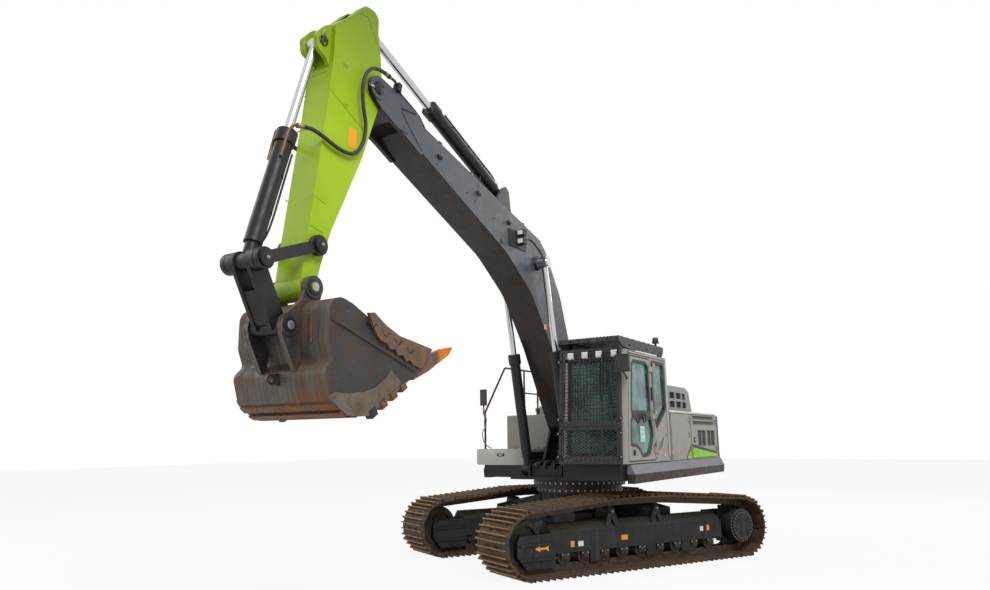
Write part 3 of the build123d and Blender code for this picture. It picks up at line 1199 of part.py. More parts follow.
# ---------------------------------------------------------------- write the pieces
def build():
    parts = {"car_body": to_upper_frame(car_body()), "slew_ring": to_upper_frame(slew_ring())}
    makers = {"track_frame": track_frame, "track": track, "final_drive": final_drive,
              "idler": idler, "rollers": rollers}
    for name, make in makers.items():
        left = Pos(GAUGE / 2, 0, 0) * make()
        parts[f"{name}_left"] = to_upper_frame(left)
        parts[f"{name}_right"] = to_upper_frame(mirror(left, about=Plane.YZ))

    left_mirror, right_mirror = mirrors()
    parts.update({
        "turntable_frame": turntable_frame(),
        "counterweight": counterweight(),
        "side_skirts": side_skirts(),
        "cab_base": cab_base(),
        "cab_shell": cab_shell(),
        "cab_windows": cab_windows(),
        "front_guard": front_guard(),
        "roof_guard": roof_guard(),
        "operator_seat": operator_seat(),
        "cab_console": cab_console(),
        "mirrors": Compound([left_mirror, right_mirror]),
        "handrails": handrails(),
        "toolbox": toolbox(),
        "toolbox_lid": toolbox_lid(),
        "fuel_tank": fuel_tank(),
        "hydraulic_tank": hydraulic_tank(),
        "engine_housing": housing(),
        "engine_hood": engine_hood(),
        "engine_block": engine_block(),
        "control_valve": control_valve(),
        "cab_door": cab_door(),
        "cab_door_glass": cab_door_glass(),
        "boom": boom(),
        "boom_lamps": boom_lamps(),
        "boom_pipes": boom_pipes(),
        "arm_cylinder_barrel": arm_barrel(),
        "arm_cylinder_rod": arm_rod(),
        "arm": arm(),
        "bucket_cylinder_barrel": bucket_barrel(),
        "bucket_cylinder_rod": bucket_rod(),
        "idler_links": idler_links(),
        "h_link": h_link(),
        "bucket": bucket(),
        "bucket_teeth": bucket_teeth(),
    })
    for name in SERVICE_DOORS:
        parts[name] = service_door(name)
    for name, side in (("left", 1), ("right", -1)):
        parts[f"boom_cylinder_barrel_{name}"] = boom_barrel(side)
        parts[f"boom_cylinder_rod_{name}"] = boom_rod(side)
        parts[f"hose_{name}"] = hose(side)

    os.makedirs("parts", exist_ok=True)
    for name, shape in parts.items():
        export_step(shape, f"parts/{name}.step")


build()
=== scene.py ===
"""Looks for a crawler excavator: finishes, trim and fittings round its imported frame, and a stage."""
import math

import bmesh
import bpy
from mathutils import Matrix, Vector


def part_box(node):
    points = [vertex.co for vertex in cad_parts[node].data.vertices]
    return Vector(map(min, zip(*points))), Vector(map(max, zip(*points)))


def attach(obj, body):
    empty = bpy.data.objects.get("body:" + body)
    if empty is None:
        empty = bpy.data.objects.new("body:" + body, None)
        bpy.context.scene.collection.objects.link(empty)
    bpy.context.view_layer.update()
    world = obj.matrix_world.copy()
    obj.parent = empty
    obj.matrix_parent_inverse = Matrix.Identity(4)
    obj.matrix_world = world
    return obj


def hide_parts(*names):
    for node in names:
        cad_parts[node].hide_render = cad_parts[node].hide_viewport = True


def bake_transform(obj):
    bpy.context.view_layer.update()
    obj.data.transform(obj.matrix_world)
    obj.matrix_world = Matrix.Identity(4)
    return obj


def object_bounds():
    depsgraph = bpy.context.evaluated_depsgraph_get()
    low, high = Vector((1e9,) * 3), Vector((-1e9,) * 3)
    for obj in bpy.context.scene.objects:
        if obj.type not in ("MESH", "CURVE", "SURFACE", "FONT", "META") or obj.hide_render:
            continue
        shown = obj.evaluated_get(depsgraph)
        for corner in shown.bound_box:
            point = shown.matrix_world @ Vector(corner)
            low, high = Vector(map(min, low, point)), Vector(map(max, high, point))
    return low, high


bl_info = {
    "name": "Crawler Excavator Looks",
    "version": (1, 0, 0),
    "blender": (4, 5, 0),
    "location": "View3D > Sidebar > Excavator",
    "description": "Finishes, trim and fittings for a crawler excavator",
    "category": "Object",
}

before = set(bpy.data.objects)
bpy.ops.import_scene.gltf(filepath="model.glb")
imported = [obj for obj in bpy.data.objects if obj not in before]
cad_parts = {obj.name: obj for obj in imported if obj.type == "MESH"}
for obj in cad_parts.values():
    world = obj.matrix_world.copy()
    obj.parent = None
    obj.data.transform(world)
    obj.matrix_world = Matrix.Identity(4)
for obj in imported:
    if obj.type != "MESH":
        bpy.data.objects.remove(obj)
CAD_BOX = [list(corner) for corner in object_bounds()]
finishes = {}  # finish name to material, filled by the finishes operator


# ---------------------------------------------------------------- finishes
def linear(code):
    """A linear colour with alpha from an sRGB code such as #9a968f."""
    values = [int(code[i:i + 2], 16) / 255 for i in (1, 3, 5)]
    return tuple(v / 12.92 if v <= 0.04045 else ((v + 0.055) / 1.055) ** 2.4 for v in values) + (1.0,)


def add_node(tree, kind, links=(), **settings):
    """Adds a node with its settings. Links are sources, values or colour codes for the inputs in
    use, in order, or for inputs by name or number; a node as a source gives its first output."""
    node = tree.nodes.new(kind)
    for key, value in settings.items():
        setattr(node, key, value)
    if isinstance(links, dict):
        pairs = [(node.inputs[key], value) for key, value in links.items()]
    else:
        pairs = zip([socket for socket in node.inputs if socket.enabled], links)
    for socket, value in pairs:
        put(tree, socket, value)
    return node


def put(tree, socket, value):
    """Links a source into an input, or sets the input's value; #rrggbb is a colour code."""
    if isinstance(value, bpy.types.Node):
        value = next(output for output in value.outputs if output.enabled)
    if isinstance(value, bpy.types.NodeSocket):
        tree.links.new(value, socket)
    else:
        socket.default_value = linear(value) if str(value).startswith("#") else value


class Finish:
    """One material's node tree, patterned in object coordinates."""

    def __init__(self, name, **sockets):
        self.material = bpy.data.materials.new(name)
        self.material.use_nodes = True
        self.tree = self.material.node_tree
        self.tree.nodes.clear()
        self.shader = self.node("BsdfPrincipled", {key.replace("_", " "): value
                                                   for key, value in sockets.items()})
        self.node("OutputMaterial", (self.shader,))
        coordinates = self.node("TexCoord").outputs
        self.spot = coordinates["Object"]
        self.x, self.y, self.z = self.node("SeparateXYZ", (self.spot,)).outputs
        self.facing = self.node("SeparateXYZ", (coordinates["Normal"],)).outputs
        finishes[name] = self.material

    def node(self, kind, links=(), **settings):
        return add_node(self.tree, "ShaderNode" + kind, links, **settings)

    def patches(self, scale, low, high, detail=4, stretch=None, rough=0.55, least=0, most=1):
        """Uneven patches: noise from low to high drawn out between least and most, and held beyond
        them. The scale is patches to the metre; a stretch below 1 makes them long that way."""
        spot = self.node("Mapping", {"Vector": self.spot, "Scale": stretch}) if stretch else self.spot
        noise = self.node("TexNoise", (spot, scale, detail, rough))
        return self.node("MapRange", (noise, low, high, least, most))

    def layers(self, base, *coats):
        """A base colour with each (mask, colour) laid over it in turn."""
        for mask, colour in coats:
            base = self.node("Mix", (mask, base, colour), data_type="RGBA")
        return base

    def show(self, colour, rough, height=None, strength=0, distance=0):
        """Gives the shader its colour and roughness, and a height to bump the surface with."""
        sources = {"Base Color": colour, "Roughness": rough}
        if height:
            sources["Normal"] = self.node("Bump", {"Strength": strength, "Distance": distance,
                                                   "Height": height})
        for key, source in sources.items():
            put(self.tree, self.shader.inputs[key], source)


def paint(name, colour, shade, rough=0.42, dusty=0.25, dust="#8f8577", below=None, above=None,
          high=None, coat=0.0, inside=None):
    """Sprayed paint with uneven tone, dust and rain streaks; below is painted shade on faces that look down,
    above tints those that look up, high = (colour, from, to) fades in with height, and inside =
    (colour, half width) is painted shade on the faces between the outer plates that do not look up.

    The shade drifts over about 600 mm. Streaks are 125 mm apart and 1.7 m long, specks of dust
    26 mm and orange peel 8 mm; real dust and peel are finer, and are drawn this coarse to show."""
    f = Finish(name, Coat_Weight=coat, Coat_Roughness=0.15, Specular_IOR_Level=0.3)
    coats = [(f.patches(1.7, 0.3, 0.7), shade)]
    # faces between the outer plates that do not look up: dark brown painted shade
    if inside:
        away = f.node("Math", (f.x,), operation="ABSOLUTE")
        between = f.node("MapRange", (away, inside[1], inside[1] - 0.008))
        level = f.node("MapRange", (f.facing[2], 0.5, 0.2))
        coats.append((f.node("Math", (between, level), operation="MULTIPLY"), inside[0]))
    if high:
        coats.append((f.node("MapRange", (f.z, high[1], high[2])), high[0]))
    if above:
        coats.append((f.node("MapRange", (f.facing[2], 0.25, 0.75)), above))
    # faces that look down: darker painted shade
    if below:
        coats.append((f.node("MapRange", (f.facing[2], -0.08, -0.3)), below))
    # rain streaks, then specks of dust
    coats.append((f.patches(5, 0.5, 0.78, stretch=(1.6, 1.6, 0.12), most=dusty * 0.6), dust))
    coats.append((f.patches(38, 0.56, 0.74, 6, most=dusty * 0.5), dust))
    f.show(f.layers(colour, *coats), f.patches(9, 0.3, 0.7, least=rough - 0.07, most=rough + 0.12),
           f.node("TexNoise", (f.spot, 120, 2, 0.55)), 0.06, 0.002)


def steel(name, face, rust, deep, share=0.5, scale=6, stretch=None, rough=0.72, metal=0.25,
          pits=0.35, above=None):
    """Bare or worn-through steel: a scraped face, rust over it and dark soil in the hollows.

    Rust patches are 1 m / scale across, 70 to 170 mm; pits are 11 mm, where real ones are 1 to
    3 mm, so that they show."""
    f = Finish(name, Metallic=metal, Specular_IOR_Level=0.3)
    patch = f.patches(scale, 0.62 - share * 0.35, 0.78 - share * 0.35, 8, stretch, 0.65)
    coats = [(patch, rust), (f.patches(scale * 2.3, 0.52, 0.72, 6, stretch), deep),
             (f.patches(70, 0.5, 0.8, 3, most=0.35), rust)]
    if above:
        coats.append((f.node("MapRange", (f.facing[2], 0.4, 0.9, 0, 0.6)), above))
    f.show(f.layers(face, *coats),
           f.node("MapRange", (patch, 0, 1, rough - 0.18, min(rough + 0.15, 1))),
           f.node("TexNoise", (f.spot, 90, 5, 0.55)), pits, 0.003)


def bucket_finish(name):
    """Scoured steel: dark scratched sides, a back drawn with vertical scrapes, rust where soil lies.

    Scrapes are 15 mm apart and run the height of the back; scratches are 40 mm and rust 200 mm."""
    f = Finish(name, Metallic=0.25)
    off_crease = f.node("Math", (f.z, 2.6), operation="SUBTRACT")
    away, off_crease, turned = [f.node("Math", (source,), operation="ABSOLUTE")
                                for source in (f.x, off_crease, f.facing[0])]
    patch = f.patches(5, 0.46, 0.62, 8, (1.3, 1, 0.4), 0.65)
    # the back's rust lies low down, and along the middle of its crease
    low = f.node("MapRange", (f.z, 2.62, 2.2, 0, 0.55))
    crease = f.node("Math", (f.node("MapRange", (off_crease, 0.14, 0)),
                             f.node("MapRange", (away, 0.34, 0.12))), operation="MULTIPLY")
    most = f.node("Math", (f.node("Math", (low, crease), operation="MAXIMUM"), 0.3), operation="MAXIMUM")
    back = f.layers("#2b2825", (f.patches(30, 0.3, 0.7, 8, (2.2, 0.06, 0.03), 0.75), "#6f6960"),
                    (f.node("Math", (patch, most), operation="MULTIPLY"), "#8a5a2c"))
    # the sides are scratched, and scoured bare on the outer plates
    plates = f.node("Math", (f.node("MapRange", (away, 0.652, 0.656)),
                             f.node("MapRange", (away, 0.664, 0.661))), operation="MULTIPLY")
    cheek = f.layers("#252726", (f.patches(3, 0.3, 0.7, 5), "#343432"),
                     (f.patches(26, 0.60, 0.72, 8, (1, 0.5, 1.4), 0.75, most=0.5), "#7b766c"),
                     (plates, f.layers("#6a6155", (f.patches(8, 0.35, 0.7, 6), "#544a40"))),
                     (f.node("Math", (patch, 0.35), operation="MULTIPLY"), "#6b4a2c"))
    side = f.node("MapRange", (turned, 0.6, 0.8))
    scrapes = f.node("Mapping", {"Vector": f.spot, "Scale": (1.6, 0.4, 0.3)})
    f.show(f.layers(back, (side, cheek)), f.node("MapRange", (patch, 0, 1, 0.5, 0.85)),
           f.node("TexNoise", (scrapes, 40, 8, 0.55)), 0.35, 0.004)


def tooth_finish(name):
    """Cast adapters and cutters in brown rust, with the makers' orange left on the tips.

    Rust is in patches of 140 and 33 mm; the casting's skin is 17 mm, coarser than sand's to show."""
    f = Finish(name, Metallic=0.15)
    tip = f.node("Math", (f.node("MapRange", (f.y, -4.80, -4.72)), f.patches(14, 0.3, 0.38, 6)),
                 operation="MULTIPLY")
    base = f.layers("#574a3f", (f.patches(7, 0.4, 0.68, 8), "#7b5232"),
                    (f.patches(30, 0.6, 0.8, 5), "#a2642f"), (tip, "#cf740c"))
    f.show(base, f.patches(12, 0.3, 0.7, least=0.55, most=0.85),
           f.node("TexNoise", (f.spot, 60, 6, 0.55)), 0.4, 0.004)


def plain(name, colour, rough=0.5, metal=0.0, grain=90, depth=0.1, vary=0.12, **sockets):
    """Moulded, machined or plated stock: one colour with a fine grain and slight unevenness.

    The grain is 1 m / (3 * grain), 4 mm unless it is given, coarser than the real one to show."""
    f = Finish(name, Metallic=metal, **sockets)
    darker = f.layers(colour, (vary, "#101010"))
    f.show(f.layers(colour, (f.patches(grain / 6, 0.35, 0.7, 5), darker)),
           f.patches(grain / 3, 0.3, 0.7, least=rough * 0.85, most=min(rough * 1.2, 1)),
           f.node("TexNoise", (f.spot, grain * 3, 4, 0.55)), depth, 0.001)


def glazing(name, tint, rough=0.04):
    """Tinted safety glass with a faint film of dust, thicker and thinner over about 600 mm."""
    f = Finish(name, IOR=1.45, Transmission_Weight=0.55)
    f.show(f.layers(tint, (f.patches(1.6, 0.42, 0.6), "#3b5a58")),
           f.patches(14, 0.4, 0.8, least=rough, most=rough + 0.05))


def cloth(name, colour, thread):
    """Woven seat cloth: two crossed bands of threads, 3.5 mm apart so that they show."""
    f = Finish(name, Sheen_Weight=0.3)
    bands = [f.node("TexWave", {"Vector": f.spot, "Scale": 90}, bands_direction=way).outputs["Fac"]
             for way in ("X", "Z")]
    weave = f.node("Math", bands, operation="MULTIPLY")
    f.show(f.layers(colour, (weave, thread)), 0.9, weave, 0.4, 0.002)


def make_finishes(colours):
    """Every finish of the machine, from the colours that can be changed."""
    # two-pack lime paint of the arm, darker where it is high
    paint("lime_paint", colours.lime, "#93b204", 0.4, 0.14, high=("#5a6f05", 5.2, 7.2), coat=0.05,
          dust="#7d8420")
    paint("lime_panel_paint", "#94d600", "#8ccc00", 0.45, 0.03)
    # slate paint of the boom's sides; its belly and the faces between its plates carry dark brown painted shade
    paint("slate_paint", colours.slate, "#3c4146", 0.42, 0.14, below="#21150d", coat=0.1,
          above="#4a4f55", inside=("#21150d", 0.24), dust="#62594e")
    # warm light grey body panels
    paint("panel_paint", colours.panel, "#958f86", 0.42, 0.22, coat=0.15)
    paint("roof_trim_paint", "#b9b6ae", "#aaa79f", 0.4, 0.2)
    paint("louvre_paint", "#57524a", "#4a463f", 0.5, 0.2)
    paint("hood_paint", "#a3a3a2", "#8f9092", 0.4, 0.25)
    paint("counterweight_paint", "#2f3338", "#282b30", 0.5, 0.2)
    # side skirts: clean above their edge, brown with thrown soil beneath
    paint("skirt_paint", "#33251e", "#2a1f1a", 0.5, 0.3, dust="#5d4336",
          high=("#6c6e74", 1.352, 1.36), above="#8b8d93")
    # satin black and charcoal parts
    paint("deck_paint", "#141413", "#0f0f0e", 0.45, 0.16, dust="#3a342e")
    paint("frame_paint", "#232324", "#1b1b1c", 0.55, 0.35, dust="#544b42")
    # track frames: below gives the faces that look down a painted shade
    paint("track_frame_paint", "#29292b", "#1f1f20", 0.6, 0.5, dust="#57504a", below="#141210",
          above="#403b34")
    paint("guard_paint", "#2b2e2e", "#232626", 0.45, 0.2)
    paint("roof_guard_paint", "#2f3535", "#272c2c", 0.45, 0.3)
    paint("cylinder_paint", "#1d1c1d", "#171617", 0.4, 0.25, dust="#463d36")
    # links: below gives the faces that look down a painted shade
    paint("link_paint", "#27272a", "#1d1c1d", 0.42, 0.3, dust="#4c3f35", below="#181310")
    # worn and rusted steels
    steel("shoe_steel", "#473e34", "#67492f", "#1d1815", 0.42, 6, above="#675945")
    steel("grouser_steel", "#86704f", "#9b6231", "#43352a", 0.45, 14, rough=0.6)
    steel("roller_steel", "#3b3632", "#56402f", "#1f1b18", 0.35, 9)
    bucket_finish("bucket_steel")
    steel("scraped_steel", "#67635d", "#8a5a34", "#3a3633", 0.35, 7, (1.5, 0.5, 0.5), 0.5, 0.5)
    steel("rust_steel", "#6a5342", "#8a5529", "#35261c", 0.45, 9, rough=0.8, metal=0.1)
    tooth_finish("tooth_steel")
    steel("link_rust_steel", "#4b3a2e", "#7c4b2c", "#241c18", 0.5, 9)
    # machined, plated and cast stock
    plain("rod_chrome", "#c9cacd", 0.14, 1.0, 20, 0.0, 0.08)
    plain("pin_steel", "#a9a7a2", 0.35, 0.85)
    plain("recess_steel", "#77736c", 0.45, 0.5)
    plain("ring_steel", "#3d3a37", 0.5, 0.6)
    plain("brass_fitting", "#8c7a52", 0.4, 0.7)
    plain("copper_pipe", "#6d4a35", 0.4, 0.6)
    plain("engine_iron", "#4b4d50", 0.7, 0.4, 60, 0.3)
    # rubber, plastics and lenses
    plain("hose_rubber", "#1d1d1e", 0.6, 0, 200, 0.3)
    # black rubber, also used for dark sheets and discs that are painted shade in openings and holes
    plain("rubber_and_painted_shade", "#161718", 0.5)
    plain("black_plastic", "#212224", 0.45)
    plain("console_plastic", "#2a2b2e", 0.55)
    plain("screen_black", "#141516", 0.6)
    plain("mirror_face", "#9aa7a8", 0.08, 1.0, 20, 0.0)
    plain("lamp_lens", "#e4e6e2", 0.2, 0.0, 60, 0.25, 0.05)
    plain("cable_sheath", "#a4612c", 0.5)
    # blank stickers
    plain("amber_label", "#f0a01c", 0.45, vary=0.05)
    plain("white_label", "#e2e1dc", 0.45, vary=0.05)
    plain("mint_label", "#9ad8c2", 0.4, vary=0.05)
    # dark sheets behind openings: painted shade of the openings
    plain("recess_painted_shade", "#2a2927", 0.7)
    glazing("tinted_glass", "#86bdb4")
    cloth("seat_cloth", "#2b2c30", "#44464c")


NODE_FINISH = {
    "lime_paint": ("arm",),
    "slate_paint": ("boom",),
    "panel_paint": ("cab_shell", "cab_door", "fuel_tank", "hydraulic_tank", "engine_housing",
                    "left_front_door", "left_rear_door", "right_side_door", "toolbox_lid"),
    "hood_paint": ("engine_hood",),
    "counterweight_paint": ("counterweight",),
    "skirt_paint": ("side_skirts",),
    "deck_paint": ("cab_base", "turntable_frame", "toolbox"),
    "frame_paint": ("car_body", "handrails", "control_valve", "boom_lamps", "boom_pipes"),
    "track_frame_paint": ("track_frame_left", "track_frame_right", "final_drive_left",
                          "final_drive_right"),
    "guard_paint": ("front_guard",),
    "roof_guard_paint": ("roof_guard",),
    "cylinder_paint": ("arm_cylinder_barrel", "bucket_cylinder_barrel",
                       "boom_cylinder_barrel_left", "boom_cylinder_barrel_right"),
    "link_paint": ("h_link", "idler_links"),
    "shoe_steel": ("track_left", "track_right"),
    "roller_steel": ("rollers_left", "rollers_right", "idler_left", "idler_right"),
    "bucket_steel": ("bucket",),
    "tooth_steel": ("bucket_teeth",),
    "rod_chrome": ("arm_cylinder_rod", "bucket_cylinder_rod", "boom_cylinder_rod_left",
                   "boom_cylinder_rod_right"),
    "ring_steel": ("slew_ring",),
    "black_plastic": ("mirrors",),
    "tinted_glass": ("cab_windows", "cab_door_glass"),
    "seat_cloth": ("operator_seat",),
    "console_plastic": ("cab_console",),
    "engine_iron": ("engine_block",),
    "hose_rubber": ("hose_left", "hose_right"),
}


# ---------------------------------------------------------------- shapes
def at(x, reach, z):
    """A point from its distance to the left, its reach ahead and its height."""
    return Vector((x, -reach, z))


class Work:
    """A mesh in the making; each shape on it takes one finish."""

    def __init__(self):
        self.bm = bmesh.new()
        self.slots = []

    def slot(self, finish):
        if finish not in self.slots:
            self.slots.append(finish)
        return self.slots.index(finish)

    def _finish(self, finish, faces, bevel):
        for face in faces:
            face.material_index = self.slot(finish)
        if bevel:
            edges = list({edge for face in faces for edge in face.edges})
            bmesh.ops.bevel(self.bm, geom=edges, offset=bevel, segments=2, affect="EDGES",
                            profile=0.6, clamp_overlap=True)

    def prism(self, finish, points, depth, bevel=0.003):
        """A plate with an outline of points, thickened by a vector."""
        low = [self.bm.verts.new(p) for p in points]
        high = [self.bm.verts.new(Vector(p) + Vector(depth)) for p in points]
        faces = [self.bm.faces.new(low[::-1]), self.bm.faces.new(high)]
        for i in range(len(points)):
            j = (i + 1) % len(points)
            faces.append(self.bm.faces.new((low[i], low[j], high[j], high[i])))
        bmesh.ops.recalc_face_normals(self.bm, faces=faces)
        self._finish(finish, faces, bevel)

    def box(self, finish, low, high, bevel=0.003, turn=None):
        """A box between two corners, turned about its middle by a matrix if one is given."""
        a, b = Vector(low), Vector(high)
        middle = (a + b) / 2
        corners = [Vector((x, y, a.z)) for x, y in ((a.x, a.y), (b.x, a.y), (b.x, b.y), (a.x, b.y))]
        rise = Vector((0, 0, b.z - a.z))
        if turn:
            corners = [middle + turn @ (c - middle) for c in corners]
            rise = turn @ rise
        self.prism(finish, corners, rise, bevel)

    def bar(self, finish, start, end, radius, sides=24, bevel=0.0, end_radius=None):
        """A round, hexagonal or tapered bar between two points."""
        start, end = Vector(start), Vector(end)
        turn = (end - start).to_track_quat("Z", "Y")
        rings = []
        for point, r in ((start, radius), (end, end_radius or radius)):
            rings.append([self.bm.verts.new(point + turn @ Vector((
                r * math.cos(2 * math.pi * i / sides), r * math.sin(2 * math.pi * i / sides), 0)))
                for i in range(sides)])
        faces = [self.bm.faces.new(rings[0][::-1]), self.bm.faces.new(rings[1])]
        for i in range(sides):
            j = (i + 1) % sides
            faces.append(self.bm.faces.new((rings[0][i], rings[0][j], rings[1][j], rings[1][i])))
        self._finish(finish, faces, 0)
        if bevel:
            rims = list({edge for face in faces[:2] for edge in face.edges})
            bmesh.ops.bevel(self.bm, geom=rims, offset=bevel, segments=2, affect="EDGES", profile=0.6)

    def tube(self, finish, points, radius, order=3, sides=10):
        """A hose, pipe or bead that follows a smooth line near its points."""
        curve = bpy.data.curves.new("line", "CURVE")
        curve.dimensions = "3D"
        curve.bevel_depth = radius
        curve.bevel_resolution = max(1, sides // 2 - 2)
        curve.use_fill_caps = True
        curve.resolution_u = 8
        spline = curve.splines.new("NURBS" if order > 2 else "POLY")
        spline.points.add(len(points) - 1)
        for point, place in zip(spline.points, points):
            point.co = (*place, 1)
        if order > 2:
            spline.order_u = min(order, len(points))
            spline.use_endpoint_u = True
        holder = bpy.data.objects.new("line", curve)
        before = len(self.bm.faces)
        mesh = bpy.data.meshes.new_from_object(holder)
        self.bm.from_mesh(mesh)
        self.bm.faces.ensure_lookup_table()
        for face in self.bm.faces[before:]:
            face.material_index = self.slot(finish)
        bpy.data.objects.remove(holder)
        bpy.data.curves.remove(curve)
        bpy.data.meshes.remove(mesh)

    def ring(self, finish, points, inner, outer, depth, bevel=0.0):
        """A band round a flat outline, between two offsets from it, thickened by a vector."""
        a, b = offset_outline(points, inner), offset_outline(points, outer)
        for i in range(len(points)):
            j = (i + 1) % len(points)
            self.prism(finish, (a[i], a[j], b[j], b[i]), depth, bevel)

    def bolt(self, finish, place, out, size=0.012):
        """A hexagon head on its washer, standing out of a face."""
        place, out = Vector(place), Vector(out).normalized()
        self.bar(finish, place - out * 0.001, place + out * size * 0.3, size * 1.25, 20)
        self.bar(finish, place, place + out * size * 1.1, size, 6, size * 0.1)

    def done(self, name, body):
        """The finished mesh as an object that moves with a body."""
        mesh = bpy.data.meshes.new(name)
        self.bm.to_mesh(mesh)
        self.bm.free()
        for finish in self.slots:
            mesh.materials.append(finishes[finish])
        mesh.shade_smooth()
        mesh.set_sharp_from_angle(angle=math.radians(32))
        return placed(name, mesh, body)


def placed(name, mesh, body):
    piece = bpy.data.objects.new(name, mesh)
    bpy.context.scene.collection.objects.link(piece)
    if body:
        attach(piece, body)
    return piece


def offset_outline(points, by):
    """A flat outline moved outwards by a distance, or inwards when negative."""
    points = [Vector(p) for p in points]
    normal = Vector()
    for a, b in zip(points, points[1:] + points[:1]):
        normal += a.cross(b)
    normal.normalize()
    moved = []
    for i, point in enumerate(points):
        before = (point - points[i - 1]).normalized()
        after = (points[(i + 1) % len(points)] - point).normalized()
        out = before.cross(normal) + after.cross(normal)
        moved.append(point + out * (2 * by / max(out.length_squared, 0.4)))
    return moved


def rounded(points, radius, steps=4):
    """A closed outline with its corners rounded."""
    points = [Vector(p) for p in points]
    result = []
    for i, corner in enumerate(points):
        before, after = points[i - 1] - corner, points[(i + 1) % len(points)] - corner
        cut = min(radius, before.length * 0.45, after.length * 0.45)
        a, b = corner + before.normalized() * cut, corner + after.normalized() * cut
        for k in range(steps + 1):
            t = k / steps
            result.append(a * (1 - t) ** 2 + corner * 2 * t * (1 - t) + b * t * t)
    return result


# ---------------------------------------------------------------- repeated pieces, by Geometry Nodes
SOCKETS = {"float": "NodeSocketFloat", "int": "NodeSocketInt", "vector": "NodeSocketVector",
           "finish": "NodeSocketMaterial"}


class Tree:
    """A Geometry Nodes tree with named inputs, from a mesh of points or edges to finished pieces."""

    def __init__(self, name, **inputs):
        self.group = bpy.data.node_groups.new(name, "GeometryNodeTree")
        face = self.group.interface
        face.new_socket("Geometry", in_out="OUTPUT", socket_type="NodeSocketGeometry")
        face.new_socket("Geometry", in_out="INPUT", socket_type="NodeSocketGeometry")
        for label, kind in inputs.items():
            face.new_socket(label.replace("_", " "), in_out="INPUT", socket_type=SOCKETS[kind])
        self.start = self.group.nodes.new("NodeGroupInput")
        self.end = self.group.nodes.new("NodeGroupOutput")

    def node(self, kind, links=(), **settings):
        return add_node(self.group, kind, links, **settings)

    def value(self, label):
        return self.start.outputs[label]

    def finish(self, geometry):
        """Real geometry in its finish, as every tree ends."""
        real = self.node("GeometryNodeRealizeInstances", {0: geometry})
        coloured = self.node("GeometryNodeSetMaterial", {0: real.outputs[0],
                                                         "Material": self.value("Finish")})
        self.group.links.new(coloured.outputs[0], self.end.inputs[0])
        return self.group


def bolt_tree():
    """A hexagon head on a washer at every point, standing along the point's aim."""
    t = Tree("bolt heads", Width="float", Height="float", Sides="int", Finish="finish")
    half = t.node("ShaderNodeMath", (t.value("Width"), 0.5), operation="MULTIPLY")
    heads = []
    for sides, reach, share in ((t.value("Sides"), 1.0, 1.0), (20, 1.3, 0.3)):
        wide = t.node("ShaderNodeMath", (half, reach), operation="MULTIPLY")
        tall = t.node("ShaderNodeMath", (t.value("Height"), share), operation="MULTIPLY")
        middle = t.node("ShaderNodeMath", (tall, 0.5), operation="MULTIPLY")
        disc = t.node("GeometryNodeMeshCylinder", {"Vertices": sides, "Radius": wide, "Depth": tall})
        rise = t.node("ShaderNodeCombineXYZ", {2: middle})
        heads.append(t.node("GeometryNodeTransform", {0: disc.outputs[0],
                                                      "Translation": rise.outputs[0]}).outputs[0])
    both = t.node("GeometryNodeJoinGeometry")
    for head in heads:
        t.group.links.new(head, both.inputs[0])
    aim = t.node("GeometryNodeInputNamedAttribute", {"Name": "aim"}, data_type="FLOAT_VECTOR")
    turn = t.node("FunctionNodeAlignRotationToVector", {"Vector": aim.outputs[0]}, axis="Z")
    copies = t.node("GeometryNodeInstanceOnPoints", {0: t.value("Geometry"),
                                                     "Instance": both.outputs[0],
                                                     "Rotation": turn.outputs[0]})
    return t.finish(copies.outputs[0])


def wire_tree():
    """A round wire along every edge of a mesh."""
    t = Tree("wire screen", Radius="float", Finish="finish")
    line = t.node("GeometryNodeMeshToCurve", {0: t.value("Geometry")})
    section = t.node("GeometryNodeCurvePrimitiveCircle", {"Resolution": 6,
                                                          "Radius": t.value("Radius")})
    wires = t.node("GeometryNodeCurveToMesh", {0: line.outputs[0], 1: section.outputs[0]})
    return t.finish(wires.outputs[0])


def slat_tree():
    """A flat slat at every point, tilted about its length."""
    t = Tree("louvre slats", Size="vector", Tilt="vector", Finish="finish")
    slat = t.node("GeometryNodeMeshCube", {"Size": t.value("Size")})
    turn = t.node("FunctionNodeEulerToRotation", {0: t.value("Tilt")})
    copies = t.node("GeometryNodeInstanceOnPoints", {0: t.value("Geometry"),
                                                     "Instance": slat.outputs[0],
                                                     "Rotation": turn.outputs[0]})
    return t.finish(copies.outputs[0])


TREES = {"bolts": bolt_tree, "wires": wire_tree, "slats": slat_tree}
trees = {}


def grow(name, body, kind, points, edges=(), aims=None, **values):
    """A tree's pieces on points or edges, as one plain mesh that moves with a body."""
    if kind not in trees:
        trees[kind] = TREES[kind]()
    seed = bpy.data.meshes.new(name + "_seed")
    seed.from_pydata([tuple(p) for p in points], list(edges), [])
    if aims:
        attribute = seed.attributes.new("aim", "FLOAT_VECTOR", "POINT")
        attribute.data.foreach_set("vector", [v for aim in aims for v in aim])
    holder = bpy.data.objects.new(name + "_seed", seed)
    bpy.context.scene.collection.objects.link(holder)
    modifier = holder.modifiers.new(kind, "NODES")
    modifier.node_group = trees[kind]
    sockets = {item.name: item.identifier for item in trees[kind].interface.items_tree
               if item.in_out == "INPUT"}
    for key, value in values.items():
        modifier[sockets[key]] = finishes[value] if key == "Finish" else value
    graph = bpy.context.evaluated_depsgraph_get()
    mesh = bpy.data.meshes.new_from_object(holder.evaluated_get(graph))
    holder.modifiers.remove(modifier)
    bpy.data.objects.remove(holder)
    bpy.data.meshes.remove(seed)
    mesh.name = name
    if kind == "wires":
        mesh.shade_smooth()
    return placed(name, mesh, body)


def bolts(name, body, places, width=0.024, height=0.014, sides=6, finish="frame_paint"):
    """Bolt heads at (place, aim) pairs."""
    return grow(name, body, "bolts", [p for p, _ in places], aims=[tuple(a) for _, a in places],
                Width=width, Height=height, Sides=sides, Finish=finish)


